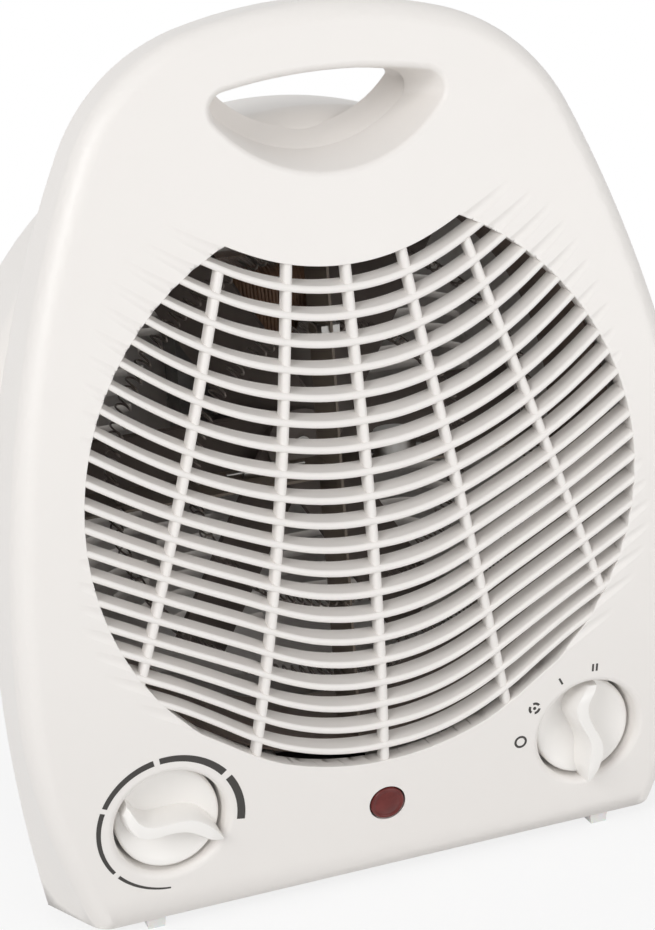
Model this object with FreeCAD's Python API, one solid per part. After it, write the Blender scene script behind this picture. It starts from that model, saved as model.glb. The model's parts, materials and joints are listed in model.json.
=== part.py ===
"""Upright household fan heater: two moulded shells, a slatted grille, two control knobs and a fan.

The model is drawn in millimetres. X runs across the front, Y runs from the front face to the back
and Z runs up. While it is drawn, Y = 0 is the foremost line of the front face and Z = 0 the underside
of the shells; each piece is moved to the centre of the foot prints when it is written.
"""
import FreeCAD, Part
import math
import os

Vec = FreeCAD.Vector
ACROSS = Vec(1, 0, 0)
INWARD = Vec(0, 1, 0)
OUTWARD = Vec(0, -1, 0)
UPWARD = Vec(0, 0, 1)

# Overall body
body_depth = 118.0
shell_height = 254.8
half_width = 105.2
widest_height = 73.0
seam_depth = 32.0
rim_back = 39.0
wall = 2.2

# Reach of a cutting tool past what it cuts, overlap of shapes that are joined, and limits for picking edges
cut_past = 1.0
join_overlap = 0.5
pick_margin = 1.0
short_edge = 1.0
edge_margin = 0.1
edge_match = 0.01

# Outline of the body seen from the front
top_radius = 138.0
shoulder_radius = 56.0
flank_radius = 345.0
skirt_radius = 450.0
front_skirt_radius = 131.0

# Bowed front face
face_radius = 451.0
face_belly_height = 92.0
face_straight_from = 150.0
edge_round = 7.0
loft_start = 1.0
rim_round = 6.5

# Carrying handle
handle_bar = 19.8
handle_hole_height = 21.5
handle_hole_top = shell_height - handle_bar
handle_hole_low = handle_hole_top - handle_hole_height
handle_sag_radius = 39.0
handle_arch_radius = 150.0
handle_corner_radius = 5.0
handle_draft = 11.0
handle_arch_draft = 5.0
handle_back_draft = 38.0
handle_back_corner = 1.5
handle_rim_round = 2.0

# Air path
air_height = 119.0
grille_radius = 82.0
grille_depth = 6.0
grille_border = 2.5
slot_count = 21
slot_pitch = 7.5
slot_pitch_loss = 0.0165
slat_thickness = 2.45
top_slot_rise = 65.3
top_slot_height = air_height + top_slot_rise
# Rise of a slat over its middle at these distances from the middle, for slats at heights over the air axis
slat_stations = (0.0, 10.0, 20.0, 30.0, 40.0, 50.0, 60.0, 70.0, 85.0)
slat_rises = (
    (66.0, (0.0, 0.75, 3.1, 7.2, 12.7, 19.2, 26.6, 35.0, 49.0)),
    (29.0, (0.0, 0.45, 2.2, 5.0, 9.2, 14.8, 21.8, 29.7, 42.5)),
    (7.0, (0.0, 0.45, 2.1, 4.75, 8.45, 13.2, 19.0, 25.9, 37.5)),
    (-15.0, (0.0, 0.45, 2.4, 5.9, 10.1, 14.6, 19.6, 25.3, 34.5)),
    (-37.0, (0.0, 0.8, 3.2, 7.3, 12.3, 17.2, 22.2, 27.4, 35.5)),
    (-58.0, (0.0, 0.55, 2.8, 6.9, 12.4, 17.7, 22.9, 28.1, 36.2)),
    (-78.0, (0.0, 0.5, 2.45, 6.05, 11.4, 18.3, 24.9, 30.4, 38.5)),
)
strut_width = 2.5
strut_setback = 1.2
outer_strut_top = 38.0
outer_strut_bottom = 81.0
inner_strut_top = 17.0
inner_strut_bottom = 40.5
strut_top_rise = 62.0
strut_bottom_drop = 74.0
strut_top_height = air_height + strut_top_rise
strut_bottom_height = air_height - strut_bottom_drop

# Drum at the back
drum_inset = 0.4
drum_radius = half_width - drum_inset
drum_taper = 0.4
drum_overlap = 2.0
drum_front_round = 10.0
drum_back_round = 42.0
base_inset = 12.2
base_half_width = half_width - base_inset
base_height = 40.0
base_setback = 12.0
base_back = body_depth - base_setback
base_corner_round = 22.0
base_top_round = 8.0
intake_radius = 78.0
intake_hub_radius = 39.0
intake_pitch = 6.0
intake_slot = 2.5
intake_slant = 45.0
intake_reach = 9.0
intake_rib = 4.0
intake_rib_spacing = 38.0

# Feet
foot_height = 4.0
foot_width = 6.0
foot_length = 8.0
foot_taper = 0.5
foot_spacing = 71.7
front_foot_depth = 15.0
rear_foot_setback = 14.0
rear_foot_depth = base_back - rear_foot_setback

# Control knobs, with depths measured along the knob axis from the face at the knob's centre
knob_spacing = 65.9
knob_height = 31.7
knob_radius = 15.4
knob_sink = 4.5
knob_skirt = 7.0
knob_dish = 2.0
knob_dish_margin = 1.0
knob_rim = 2.6
knob_web = 3.6
boss_radius = 5.5
recess_radius = 16.6
recess_lip_round = 2.2
recess_depth = 13.0
recess_wall = 2.0
fin_proud = 3.0
fin_tip_reach = 16.0
fin_width = 7.0
fin_sway = 2.4
# Points of the grip's plan, as shares of its length, half width and sway
fin_upper_plan = ((-1.0, 0.55, 0.0), (-0.45, 0.8, -1.0), (0.0, 0.9, 0.0), (0.55, 0.75, 0.8))
fin_lower_plan = ((0.6, -0.9, 0.7), (0.0, -1.0, 0.0), (-0.45, -0.9, -0.9), (-1.0, -0.55, 0.0))
fin_end_bulge = 0.3
thermostat_pointer = 152.5
selector_pointer = 86.0

# Controls behind the knobs
spindle_radius = 3.0
running_gap = 0.05
assembly_gap = 0.05
bush_radius = 5.0
bush_reach = 3.0
bush_sink = 1.0
nut_across_flats = 13.0
nut_thickness = 2.0
control_body_width = 26.0
control_body_height = 22.0
control_body_length = 17.0
switch_body_width = 24.0
switch_body_height = 20.0
switch_body_length = 14.0
spindle_end_gap = 2.0
spindle_bore_spare = 0.2
spindle_cover = 0.8
boss_clearance = 0.4
tag_length = 6.0
tag_sink = 1.0
tag_thickness = 0.8
tag_width_share = 0.125
tag_pitch_share = 0.3125

# Indicator lamp
lamp_drop = 14.75
lamp_height = air_height - grille_radius - lamp_drop
lamp_radius = 5.65
lamp_dome = 1.2
lamp_flange = 1.6
lamp_flange_thickness = 1.2
lamp_length = 9.0
lamp_bore = 4.0
neon_gap = 0.3
neon_length = 13.0
neon_lead_radius = 0.4
neon_lead_length = 4.0
neon_lead_sink = 1.0

# Heating element
shield_radius = 84.0
shield_sheet = 0.7
shield_room = 3.1
shield_front = 20.5
shield_back = 64.0
shield_ear_depth = 30.0
shield_ear_width = 9.0
shield_post_radius = 90.0
shield_post_half = 3.6
shield_ear_overhang = 4.4
shield_ear_angles = (30.0, 150.0, 250.0, 290.0)
mica_front = 26.0
mica_back = 46.0
mica_sheet = 0.8
mica_end_gap = 0.2
wire_radius = 0.45
wire_run_front = 33.0
wire_run_back = 41.0
wire_lead_front = 27.0
outer_wire_ring = 66.0
outer_wire_waves = 32
inner_wire_ring = 42.0
inner_wire_waves = 20
wire_notch_gap = 0.3
terminal_height = 5.0
terminal_length = 4.0
cutout_radius = 7.0
cutout_height = 6.0
cutout_offset = 20.0
cutout_cap_share = 0.8
cutout_cap_height = 1.5
cutout_tag_width = 3.0
cutout_tag_length = 5.0
cutout_tag_rise = 1.0
cutout_tag_sheet = 0.6
fuse_radius = 1.8
fuse_length = 14.0
fuse_offset = 20.0
fuse_lead_radius = 0.5
fuse_lead_length = 5.0

# Fan and motor on the air axis
shaft_radius = 2.5
motor_room = 28.0
core_front = body_depth - motor_room
fan_to_core = 28.0
fan_front = core_front - fan_to_core
shaft_lead = 1.0
shaft_front = fan_front - shaft_lead
shaft_tail = 2.0
fan_length = 16.0
fan_hub_radius = 11.0
fan_radius = 76.0
fan_blades = 6
blade_sheet = 1.4
blade_chord = 26.0
blade_pitch = 32.0
blade_spare = 5.0
core_length = 16.0
core_half_width = 30.0
core_below = 20.0
core_above = 44.0
core_window_half = 19.0
core_window_low = 19.0
core_window_high = 32.0
rotor_radius = 14.0
rotor_air_gap = 0.4
rotor_overhang = 1.0
winding_half_width = 17.0
winding_build = 8.5
winding_fit = 0.2
winding_round_share = 0.7
bracket_sheet = 1.5
bracket_half_width = 29.0
bracket_half_height = 7.0
bracket_pad = 10.0
bracket_standoff = 4.0
bearing_radius = 5.0
bearing_length = 5.0
motor_bolt_spacing = 24.0
motor_bolt_radius = 2.0
motor_bolt_head = 3.5
motor_bolt_head_height = 2.0
motor_post_radius = 4.6
bolt_hole_gap = 0.1

# Fasteners, wiring block and cord inlet
upper_screw_offset = 47.0
upper_screw_drop = 26.8
lower_screw_inset = 17.2
lower_screw_height = 52.0
shell_screws_at = (
    (upper_screw_offset, shell_height - upper_screw_drop),
    (half_width - lower_screw_inset, lower_screw_height),
)
screw_boss_radius = 4.2
screw_radius = 1.65
screw_pilot_gap = 0.05
screw_clearance = 0.45
screw_head_radius = 3.4
screw_head_height = 2.5
screw_head_sink = 4.0
screw_head_gap = 0.3
screw_slot_width = 0.8
screw_slot_depth = 1.0
shell_screw_reach = 16.0
shield_screw_radius = 1.4
shield_screw_head = 2.8
shield_screw_reach = 8.0
block_width = 32.0
block_depth = 12.0
block_height = 12.0
block_setback = 24.0
block_back = base_back - block_setback
block_ways = 3
block_groove = 2.0
block_wire_share = 0.8
block_hole_rise = block_height / 3
inlet_offset = -60.0
inlet_height = 20.0
inlet_radius = 6.0
inlet_bore = 3.8
inlet_flange = 2.0
inlet_flange_thickness = 2.0
inlet_length = 10.0

air_axis_point = Vec(0, 0, air_height)
written = []


def save(name, shape):
    """Write one piece, moved so that the feet stand on Z = 0 and the body is centred on Y."""
    placed = shape.copy()
    placed.translate(Vec(0, -body_depth / 2, foot_height))
    placed.exportStep(os.path.join("parts", name + ".step"))
    written.append(name)
    print(name, "solids", len(placed.Solids), "valid", placed.isValid(), "volume", round(placed.Volume, 1))


def rod(radius, start, end, x=0.0, z=air_height):
    """Cylinder along Y between two depths."""
    return Part.makeCylinder(radius, end - start, Vec(x, start, z), INWARD)


def block(x0, x1, y0, y1, z0, z1):
    """Box between two corners."""
    return Part.makeBox(x1 - x0, y1 - y0, z1 - z0, Vec(x0, y0, z0))


def fuse(shapes):
    """One solid from several that overlap or touch."""
    return shapes[0].multiFuse(list(shapes[1:])).removeSplitter()


def arc(centre, radius, start, end):
    """Edge of a circle in the XZ plane from one angle to another, in degrees."""
    points = []
    for angle in (start, (start + end) / 2, end):
        turn = math.radians(angle)
        points.append(centre + Vec(radius * math.cos(turn), 0, radius * math.sin(turn)))
    return Part.Arc(*points).toShape()


def bearing_of(vector):
    """Angle of a vector in the XZ plane, in degrees."""
    return math.degrees(math.atan2(vector.z, vector.x))


def face_tilt(height):
    """Angle in degrees by which the face leans forward below its belly and back above it."""
    return math.degrees(math.asin((face_belly_height - min(height, face_straight_from)) / face_radius))


def face_depth(height):
    """Depth of the front face behind its foremost line, at a height."""
    lean = math.radians(face_tilt(height))
    curved = face_radius * (1 - math.cos(lean))
    return curved - math.tan(lean) * max(height - face_straight_from, 0.0)


def behind_face(inset, back):
    """All of the space between the front face, moved in by an inset, and a flat plane at the back."""
    reach = face_radius - inset
    margin = 20.0
    low = -margin
    high = shell_height + margin
    centre = Vec(0, face_radius, face_belly_height)
    lean = math.asin((face_straight_from - face_belly_height) / face_radius)
    dip = math.asin((face_belly_height - low) / reach)
    bend = centre + Vec(0, -reach * math.cos(lean), reach * math.sin(lean))
    belly = centre + Vec(0, -reach, 0)
    toe = centre + Vec(0, -reach * math.cos(dip), -reach * math.sin(dip))
    crest = bend + Vec(0, math.tan(lean) * (high - bend.z), high - bend.z)
    edges = [
        Part.Arc(toe, belly, bend).toShape(),
        Part.LineSegment(bend, crest).toShape(),
        Part.LineSegment(crest, Vec(0, back, high)).toShape(),
        Part.LineSegment(Vec(0, back, high), Vec(0, back, low)).toShape(),
        Part.LineSegment(Vec(0, back, low), toe).toShape(),
    ]
    span = half_width + margin
    profile = Part.Face(Part.Wire(edges))
    profile.translate(Vec(-span, 0, 0))
    return profile.extrude(Vec(2 * span, 0, 0))


def body_outline(inset, lower_radius=skirt_radius):
    """Closed shield outline in the XZ plane, moved inwards by an inset; its lower sides share a radius."""
    top = Vec(0, 0, shell_height - top_radius)
    flank = Vec(half_width - flank_radius, 0, widest_height)
    skirt = Vec(half_width - lower_radius, 0, widest_height)
    to_flank = flank - top
    distance = to_flank.Length
    reach_top = top_radius - shoulder_radius
    reach_flank = flank_radius - shoulder_radius
    along = (reach_top ** 2 - reach_flank ** 2 + distance ** 2) / (2 * distance)
    aside = math.sqrt(reach_top ** 2 - along ** 2)
    unit = to_flank / distance
    shoulder = top + unit * along + Vec(-unit.z, 0, unit.x) * -aside
    crown = bearing_of(shoulder - top)
    brow = bearing_of(shoulder - flank)
    hem = -math.degrees(math.asin((widest_height - inset) / (lower_radius - inset)))
    hem_x = skirt.x + (lower_radius - inset) * math.cos(math.radians(hem))
    right = [
        arc(skirt, lower_radius - inset, hem, 0),
        arc(flank, flank_radius - inset, 0, brow),
        arc(shoulder, shoulder_radius - inset, brow, crown),
        arc(top, top_radius - inset, crown, 90),
    ]
    left = [edge.mirror(Vec(), ACROSS) for edge in right]
    sole = Part.LineSegment(Vec(-hem_x, 0, inset), Vec(hem_x, 0, inset)).toShape()
    return Part.Wire(Part.__sortEdges__(right + left + [sole]))


def body_prism(inset, start, end):
    """The body outline carried along Y between two depths."""
    face = Part.Face(body_outline(inset))
    face.translate(Vec(0, start, 0))
    return face.extrude(Vec(0, end - start, 0))


def flared_body(inset):
    """Body between the foremost line and the seam, with lower sides that spread towards the seam."""
    front = body_outline(inset, front_skirt_radius)
    front.translate(Vec(0, -loft_start, 0))
    back = body_outline(inset)
    back.translate(Vec(0, seam_depth, 0))
    return Part.makeLoft([front, back], True, True)


def handle_hole_middle():
    """Height of the middle of the finger hole."""
    return (handle_hole_low + handle_hole_top) / 2


def tapered_rod(radius, draft, start, end, z):
    """Cone along Y that has its radius at the seam and widens towards the front by a draft angle."""
    slope = math.tan(math.radians(draft))
    front = radius + (seam_depth - start) * slope
    back = radius + (seam_depth - end) * slope
    if draft == 0:
        return rod(radius, start, end, 0, z)
    return Part.makeCone(front, back, end - start, Vec(0, start, z), INWARD)


def handle_hole(grow, drafts, corner, start, end):
    """Smile-shaped finger hole between two depths, grown outwards, with drafts of its two long sides."""
    sag = tapered_rod(handle_sag_radius + grow, drafts[0], start, end, handle_hole_low + handle_sag_radius)
    arch_height = handle_hole_top - handle_arch_radius
    arch = tapered_rod(handle_arch_radius + grow, drafts[1], start, end, arch_height)
    lens = sag.common(arch)
    tips = []
    for edge in lens.Edges:
        box = edge.BoundBox
        if box.YLength > (end - start) / 2 and min(abs(box.XMin), abs(box.XMax)) > handle_sag_radius / 2:
            tips.append(edge)
    return lens.makeFillet(corner + grow, tips)


def front_handle_hole(grow):
    """Finger hole of the front moulding, grown outwards."""
    drafts = (handle_draft, handle_arch_draft)
    return handle_hole(grow, drafts, handle_corner_radius, -edge_round, seam_depth + cut_past)


def rear_handle_hole(grow):
    """Finger hole of the rear moulding, whose sill rises towards the back, grown outwards."""
    drafts = (handle_back_draft, 0.0)
    return handle_hole(grow, drafts, handle_back_corner, seam_depth - cut_past, rim_back + cut_past)


def moulded_front(inset):
    """Solid front body, before it is hollowed, with its rounded front edge."""
    solid = flared_body(inset).common(behind_face(inset, seam_depth + cut_past))
    bend = face_straight_from - inset
    rim = []
    for edge in solid.Edges:
        box = edge.BoundBox
        level = max(box.ZLength, box.YLength) < edge_match
        across_face = level and abs(box.ZMax - bend) < 2 * edge_round
        if box.YMax < seam_depth - edge_margin and box.ZMax > inset + edge_margin and not across_face:
            rim.append(edge)
    return solid.makeFillet(edge_round - inset, rim)


def at_knob(shape, side):
    """Place a shape drawn about the Y axis on a knob's axis, with Y = 0 on the face there."""
    placed = shape.copy()
    placed.translate(Vec(side * knob_spacing, face_depth(knob_height), knob_height))
    return placed


def at_lamp(shape):
    """Place a shape drawn about the Y axis square to the face at the lamp, with Y = 0 on the face."""
    placed = shape.copy()
    placed.rotate(Vec(), ACROSS, face_tilt(lamp_height))
    placed.translate(Vec(0, face_depth(lamp_height), lamp_height))
    return placed


def slat_rise(station, height):
    """Rise at one station of a slat whose middle is at a height, read between the rows of the table."""
    over = height - air_height
    for upper, lower in zip(slat_rises, slat_rises[1:]):
        if over >= lower[0]:
            share = min((upper[0] - over) / (upper[0] - lower[0]), 1.0)
            return upper[1][station] * (1 - share) + lower[1][station] * share
    return slat_rises[-1][1][station]


def slat_edge(height):
    """Smooth smile-shaped edge of a slot, from its left to its right end."""
    right = [Vec(x, 0, height + slat_rise(i, height)) for i, x in enumerate(slat_stations)]
    left = [Vec(-p.x, 0, p.z) for p in reversed(right[1:])]
    curve = Part.BSplineCurve()
    curve.interpolate(left + right)
    return curve.toShape(), left[0], right[-1]


def slot_top(row):
    """Height of a slot's upper edge in the middle; the rows lie closer together towards the bottom."""
    return top_slot_height - row * slot_pitch + row * row * slot_pitch_loss


def grille_slots(start, end):
    """One prism for each open slot, cut to the round mouth of the grille."""
    mouth = rod(grille_radius, start, end)
    slots = []
    for row in range(slot_count):
        high, high_left, high_right = slat_edge(slot_top(row))
        low, low_left, low_right = slat_edge(slot_top(row + 1) + slat_thickness)
        sides = [
            Part.LineSegment(low_left, high_left).toShape(),
            Part.LineSegment(low_right, high_right).toShape(),
        ]
        face = Part.Face(Part.Wire(Part.__sortEdges__([low, high] + sides)))
        face.translate(Vec(0, start, 0))
        slots.append(face.extrude(Vec(0, end - start, 0)).common(mouth))
    return slots


def grille_struts(back):
    """Upright bars behind the slats: one straight up the middle and two leaning pairs."""
    mouth = rod(grille_radius + grille_border / 2, -edge_round, back)
    zone = behind_face(strut_setback, back).common(mouth)
    zone = zone.cut(behind_face(grille_depth, back + cut_past))
    bars = []
    feet = ((0.0, 0.0), (inner_strut_top, inner_strut_bottom), (outer_strut_top, outer_strut_bottom))
    rise = strut_top_height - strut_bottom_height
    for upper, lower in feet:
        for side in ((1,) if upper == 0 else (-1, 1)):
            slope = side * (upper - lower) / rise
            low_x = side * lower - slope * strut_bottom_height
            high_x = low_x + slope * shell_height
            half = strut_width / 2
            corners = [
                Vec(low_x - half, -edge_round, 0),
                Vec(low_x + half, -edge_round, 0),
                Vec(high_x + half, -edge_round, shell_height),
                Vec(high_x - half, -edge_round, shell_height),
            ]
            face = Part.Face(Part.makePolygon(corners + corners[:1]))
            bars.append(face.extrude(Vec(0, back + edge_round, 0)).common(zone))
    return bars


def shield_posts():
    """Axis positions of the posts that carry the heat shield, as X and Z."""
    places = []
    for angle in shield_ear_angles:
        turn = math.radians(angle)
        x, z = shield_post_radius * math.cos(turn), shield_post_radius * math.sin(turn)
        places.append((x, air_height + z))
    return places


def shell_screw_places():
    """Axis positions of the screws that hold the two shells together, as X and Z."""
    return [(side * x, z) for x, z in shell_screws_at for side in (-1, 1)]


def recess_lips(shell):
    """Edges where the knob wells break through the front face."""
    lips = []
    floor = face_depth(knob_height) + recess_depth
    for edge in shell.Edges:
        box = edge.BoundBox
        middle = edge.valueAt((edge.FirstParameter + edge.LastParameter) / 2)
        radius = math.hypot(abs(middle.x) - knob_spacing, middle.z - knob_height)
        on_well = abs(radius - recess_radius) < edge_match
        if on_well and box.YMax < floor - pick_margin and box.XLength > short_edge:
            lips.append(edge)
    return lips


def make_front_shell():
    """Front moulding with grille, handle, knob wells, lamp hole and screw bosses."""
    outside = moulded_front(0.0)
    hole = front_handle_hole(0.0)
    body = outside.cut(hole)
    lips = []
    for edge in body.Edges:
        box = edge.BoundBox
        middle = edge.valueAt((edge.FirstParameter + edge.LastParameter) / 2)
        level = abs(middle.z - handle_hole_middle()) < handle_sag_radius / 2
        near = level and abs(middle.x) < half_width / 2
        on_face = abs(middle.y - face_depth(middle.z)) < 0.01
        if near and on_face and box.ZMax < shell_height - edge_round:
            lips.append(edge)
    body = body.makeFillet(handle_rim_round, lips)
    sleeve = front_handle_hole(wall)
    cavity = moulded_front(wall).cut(sleeve)
    shell = body.cut(cavity)
    band = behind_face(0.0, seam_depth).cut(behind_face(grille_depth, seam_depth + cut_past))
    additions = [band.common(rod(grille_radius + grille_border, -edge_round, seam_depth))]
    well = rod(recess_radius + recess_wall, -edge_round, recess_depth + recess_wall, 0, 0)
    for side in (-1, 1):
        additions.append(at_knob(well, side).common(outside))
    for x, z in shell_screw_places():
        additions.append(rod(screw_boss_radius, 0, seam_depth, x, z).common(outside))
    for x, z in shield_posts():
        additions.append(rod(shield_post_half, 0, shield_ear_depth, x, z).common(outside))
    shell = fuse([shell] + additions)
    pocket = rod(recess_radius, -edge_round, recess_depth, 0, 0)
    shell = shell.cut([at_knob(pocket, side) for side in (-1, 1)])
    shell = shell.makeFillet(recess_lip_round, recess_lips(shell))
    cuts = grille_slots(-edge_round, seam_depth)
    bush = rod(bush_radius + assembly_gap, 0, recess_depth + 2 * recess_wall, 0, 0)
    for side in (-1, 1):
        cuts.append(at_knob(bush, side))
    lamp = rod(lamp_radius + assembly_gap, -edge_round, lamp_length, 0, 0)
    cuts.append(at_lamp(lamp))
    pilot = screw_radius + screw_pilot_gap
    for x, z in shell_screw_places():
        cuts.append(rod(pilot, seam_depth - shell_screw_reach - cut_past, seam_depth + cut_past, x, z))
    for x, z in shield_posts():
        start = shield_ear_depth - shield_screw_reach - cut_past
        cuts.append(rod(shield_screw_radius + screw_pilot_gap, start, shield_ear_depth + cut_past, x, z))
    shell = shell.cut(cuts)
    return fuse([shell] + grille_struts(seam_depth))


def drum(inset):
    """Round drum behind the rim, moved inwards by an inset."""
    radius = drum_radius - inset
    front = rim_back - drum_overlap + inset
    back = body_depth - inset
    front_round = drum_front_round - inset
    back_round = drum_back_round - inset
    diagonal = math.sqrt(0.5)
    front_mid = Vec(radius - front_round * (1 - diagonal), front + front_round * (1 - diagonal), 0)
    back_radius = radius - drum_taper
    back_mid = Vec(back_radius - back_round * (1 - diagonal), back - back_round * (1 - diagonal), 0)
    front_inner = Vec(radius - front_round, front, 0)
    front_outer = Vec(radius, front + front_round, 0)
    back_outer = Vec(back_radius, back - back_round, 0)
    back_inner = Vec(back_radius - back_round, back, 0)
    edges = [
        Part.LineSegment(Vec(0, front, 0), front_inner).toShape(),
        Part.Arc(front_inner, front_mid, front_outer).toShape(),
        Part.LineSegment(front_outer, back_outer).toShape(),
        Part.Arc(back_outer, back_mid, back_inner).toShape(),
        Part.LineSegment(back_inner, Vec(0, back, 0)).toShape(),
        Part.LineSegment(Vec(0, back, 0), Vec(0, front, 0)).toShape(),
    ]
    solid = Part.Face(Part.Wire(edges)).revolve(Vec(), INWARD, 360)
    solid.translate(air_axis_point)
    return solid


def rear_base(inset):
    """Plinth that carries the drum, with rounded back corners and top edges."""
    half = base_half_width - inset
    back = base_back - inset
    solid = block(-half, half, seam_depth, back, inset, base_height - inset)
    uprights = []
    for edge in solid.Edges:
        box = edge.BoundBox
        if box.ZLength > short_edge and box.YMin > seam_depth + pick_margin:
            uprights.append(edge)
    solid = solid.makeFillet(base_corner_round - inset, uprights)
    brow = []
    for edge in solid.Edges:
        box = edge.BoundBox
        if box.ZMin > base_height - inset - edge_margin and box.YMax > seam_depth + edge_margin:
            brow.append(edge)
    return solid.makeFillet(base_top_round - inset, brow)


def rear_rim():
    """Flat rim behind the seam that closes the shield outline and the handle."""
    solid = body_prism(0.0, seam_depth, rim_back)
    edges = []
    for edge in solid.Edges:
        box = edge.BoundBox
        if box.YMin > rim_back - edge_margin and box.ZMax > edge_margin:
            edges.append(edge)
    solid = solid.makeFillet(rim_round, edges)
    return solid.cut(rear_handle_hole(0.0))


def intake_slots():
    """Level air slots through the drum's back wall, round the motor hub, that rise towards the outside."""
    ring = rod(intake_radius, body_depth - intake_reach, body_depth + intake_reach)
    ring = ring.cut(rod(intake_hub_radius, body_depth - 2 * intake_reach, body_depth + 2 * intake_reach))
    rows = int((intake_radius - intake_pitch / 2) // intake_pitch)
    half = intake_slot * math.cos(math.radians(intake_slant)) / 2
    slots = []
    for row in range(-rows, rows + 1):
        bar = block(-intake_radius, intake_radius, -2 * intake_reach, 2 * intake_reach, -half, half)
        bar.rotate(Vec(), Vec(1, 0, 0), intake_slant)
        bar.translate(Vec(0, body_depth - wall / 2, air_height + row * intake_pitch))
        for rib in (-1, 0, 1):
            x = rib * intake_rib_spacing
            bar = bar.cut(block(x - intake_rib / 2, x + intake_rib / 2, 0, 2 * body_depth, 0, shell_height))
        slots.append(bar.common(ring))
    return slots


def make_rear_shell():
    """Rear moulding: rim, handle back, drum with air intake, plinth, screw tubes and motor posts."""
    outside = fuse([rear_rim(), drum(0.0), rear_base(0.0)])
    sleeve = rear_handle_hole(wall)
    rim_room = body_prism(wall, seam_depth, rim_back - wall).cut(sleeve)
    throat = rod(shield_radius + shield_sheet + shield_room, seam_depth, rim_back + drum_front_round)
    room = fuse([rim_room, drum(wall), rear_base(wall), throat.cut(sleeve)])
    shell = outside.cut(room)
    additions = []
    for x, z in shell_screw_places():
        additions.append(rod(screw_boss_radius, seam_depth, rim_back, x, z).common(outside))
    for side in (-1, 1):
        additions.append(rod(motor_post_radius, motor_post_front(), body_depth - wall / 2,
                             side * motor_bolt_spacing))
    shell = shell.cut(intake_slots())
    shell = fuse([shell] + additions)
    cuts = []
    for x, z in shell_screw_places():
        cuts.append(rod(screw_radius + screw_clearance, seam_depth - cut_past, rim_back + cut_past, x, z))
        cuts.append(rod(screw_head_radius + screw_head_gap, rim_back - screw_head_sink,
                        rim_back + cut_past, x, z))
    for side in (-1, 1):
        cuts.append(rod(motor_bolt_radius + bolt_hole_gap, motor_post_front() - cut_past, body_depth - wall,
                        side * motor_bolt_spacing))
    cuts.append(rod(inlet_radius + assembly_gap, base_back - base_corner_round, base_back + cut_past,
                    inlet_offset, inlet_height))
    return shell.cut(cuts)


def make_feet(depth):
    """A pair of tapered pads under the flat bottom of a shell."""
    pads = []
    for side in (-1, 1):
        rings = []
        for z, shrink in ((0.0, 0.0), (-foot_height, foot_taper)):
            half_x = foot_width / 2 - shrink
            half_y = foot_length / 2 - shrink
            corners = [
                Vec(side * foot_spacing - half_x, depth - half_y, z),
                Vec(side * foot_spacing + half_x, depth - half_y, z),
                Vec(side * foot_spacing + half_x, depth + half_y, z),
                Vec(side * foot_spacing - half_x, depth + half_y, z),
            ]
            rings.append(Part.makePolygon(corners + corners[:1]))
        pads.append(Part.makeLoft(rings, True, True))
    return Part.makeCompound(pads)


def fin_outline():
    """S-shaped plan of the finger grip, round at its pointer end on -X and sharp at its tip."""
    butt = knob_radius - fin_width / 4
    half = fin_width / 2
    tip = Vec(fin_tip_reach, 0, 0)
    upper = [Vec(butt * x, 0, half * z + fin_sway * sway) for x, z, sway in fin_upper_plan] + [tip]
    lower = [tip] + [Vec(butt * x, 0, half * z + fin_sway * sway) for x, z, sway in fin_lower_plan]
    top = Part.BSplineCurve()
    top.interpolate(upper)
    base = Part.BSplineCurve()
    base.interpolate(lower)
    end = Part.Arc(lower[-1], Vec(-butt - half * fin_end_bulge, 0, 0), upper[0])
    return Part.Wire([top.toShape(), base.toShape(), end.toShape()])


def make_knob(side, pointer):
    """Dished disc with a raised S-shaped grip and a hollow back round a spindle boss."""
    skirt_end = knob_sink + knob_skirt
    disc = rod(knob_radius, knob_sink, skirt_end, 0, 0)
    hollow = rod(knob_radius - knob_rim, knob_sink + knob_web, skirt_end + cut_past, 0, 0)
    dish_span = knob_radius - knob_dish_margin
    dish_radius = (dish_span ** 2 + knob_dish ** 2) / (2 * knob_dish)
    dish = Part.makeSphere(dish_radius, Vec(0, knob_sink + knob_dish - dish_radius, 0))
    disc = disc.cut(hollow).cut(dish)
    boss = rod(boss_radius, knob_sink + knob_web - join_overlap, boss_end(), 0, 0)
    plan = Part.Face(fin_outline())
    plan.translate(Vec(0, -fin_proud, 0))
    fin = plan.extrude(Vec(0, fin_proud + knob_sink + knob_web - join_overlap, 0))
    knob = fuse([disc, boss, fin])
    knob = knob.cut(rod(spindle_radius + assembly_gap, spindle_front(), skirt_end, 0, 0))
    knob.rotate(Vec(), OUTWARD, pointer - 180)
    return at_knob(knob, side)


def bush_front():
    """Depth along the knob axis at which the threaded bush ends."""
    return recess_depth - bush_reach


def boss_end():
    """Depth along the knob axis at which the knob's boss ends, clear of the bush."""
    return bush_front() - boss_clearance


def spindle_front():
    """Depth along the knob axis at which the spindle starts inside the knob."""
    return knob_sink + knob_dish + spindle_cover


def control_front():
    """Depth along the knob axis of the mounting face behind the knob well."""
    return recess_depth + recess_wall


def make_spindle(side, body_length):
    """Round spindle from the knob into the control."""
    end = control_front() + body_length - spindle_end_gap
    flat = rod(spindle_radius, spindle_front(), end, 0, 0)
    return at_knob(flat, side)


def make_control(side, width, height, length):
    """Moulded control with a threaded bush that passes through the floor of the knob well."""
    front = control_front()
    body = block(-width / 2, width / 2, front, front + length, -height / 2, height / 2)
    bush = rod(bush_radius, bush_front(), front + bush_sink, 0, 0)
    tag_half = width * tag_width_share / 2
    tags = []
    for place in (-1, 0, 1):
        x = place * width * tag_pitch_share
        tags.append(block(x - tag_half, x + tag_half,
                          front + length - tag_sink, front + length + tag_length,
                          -tag_thickness / 2, tag_thickness / 2))
    body = fuse([body, bush] + tags)
    bore_end = front + length - spindle_end_gap + spindle_bore_spare
    body = body.cut(rod(spindle_radius + running_gap, bush_front() - cut_past, bore_end, 0, 0))
    return at_knob(body, side)


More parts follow.
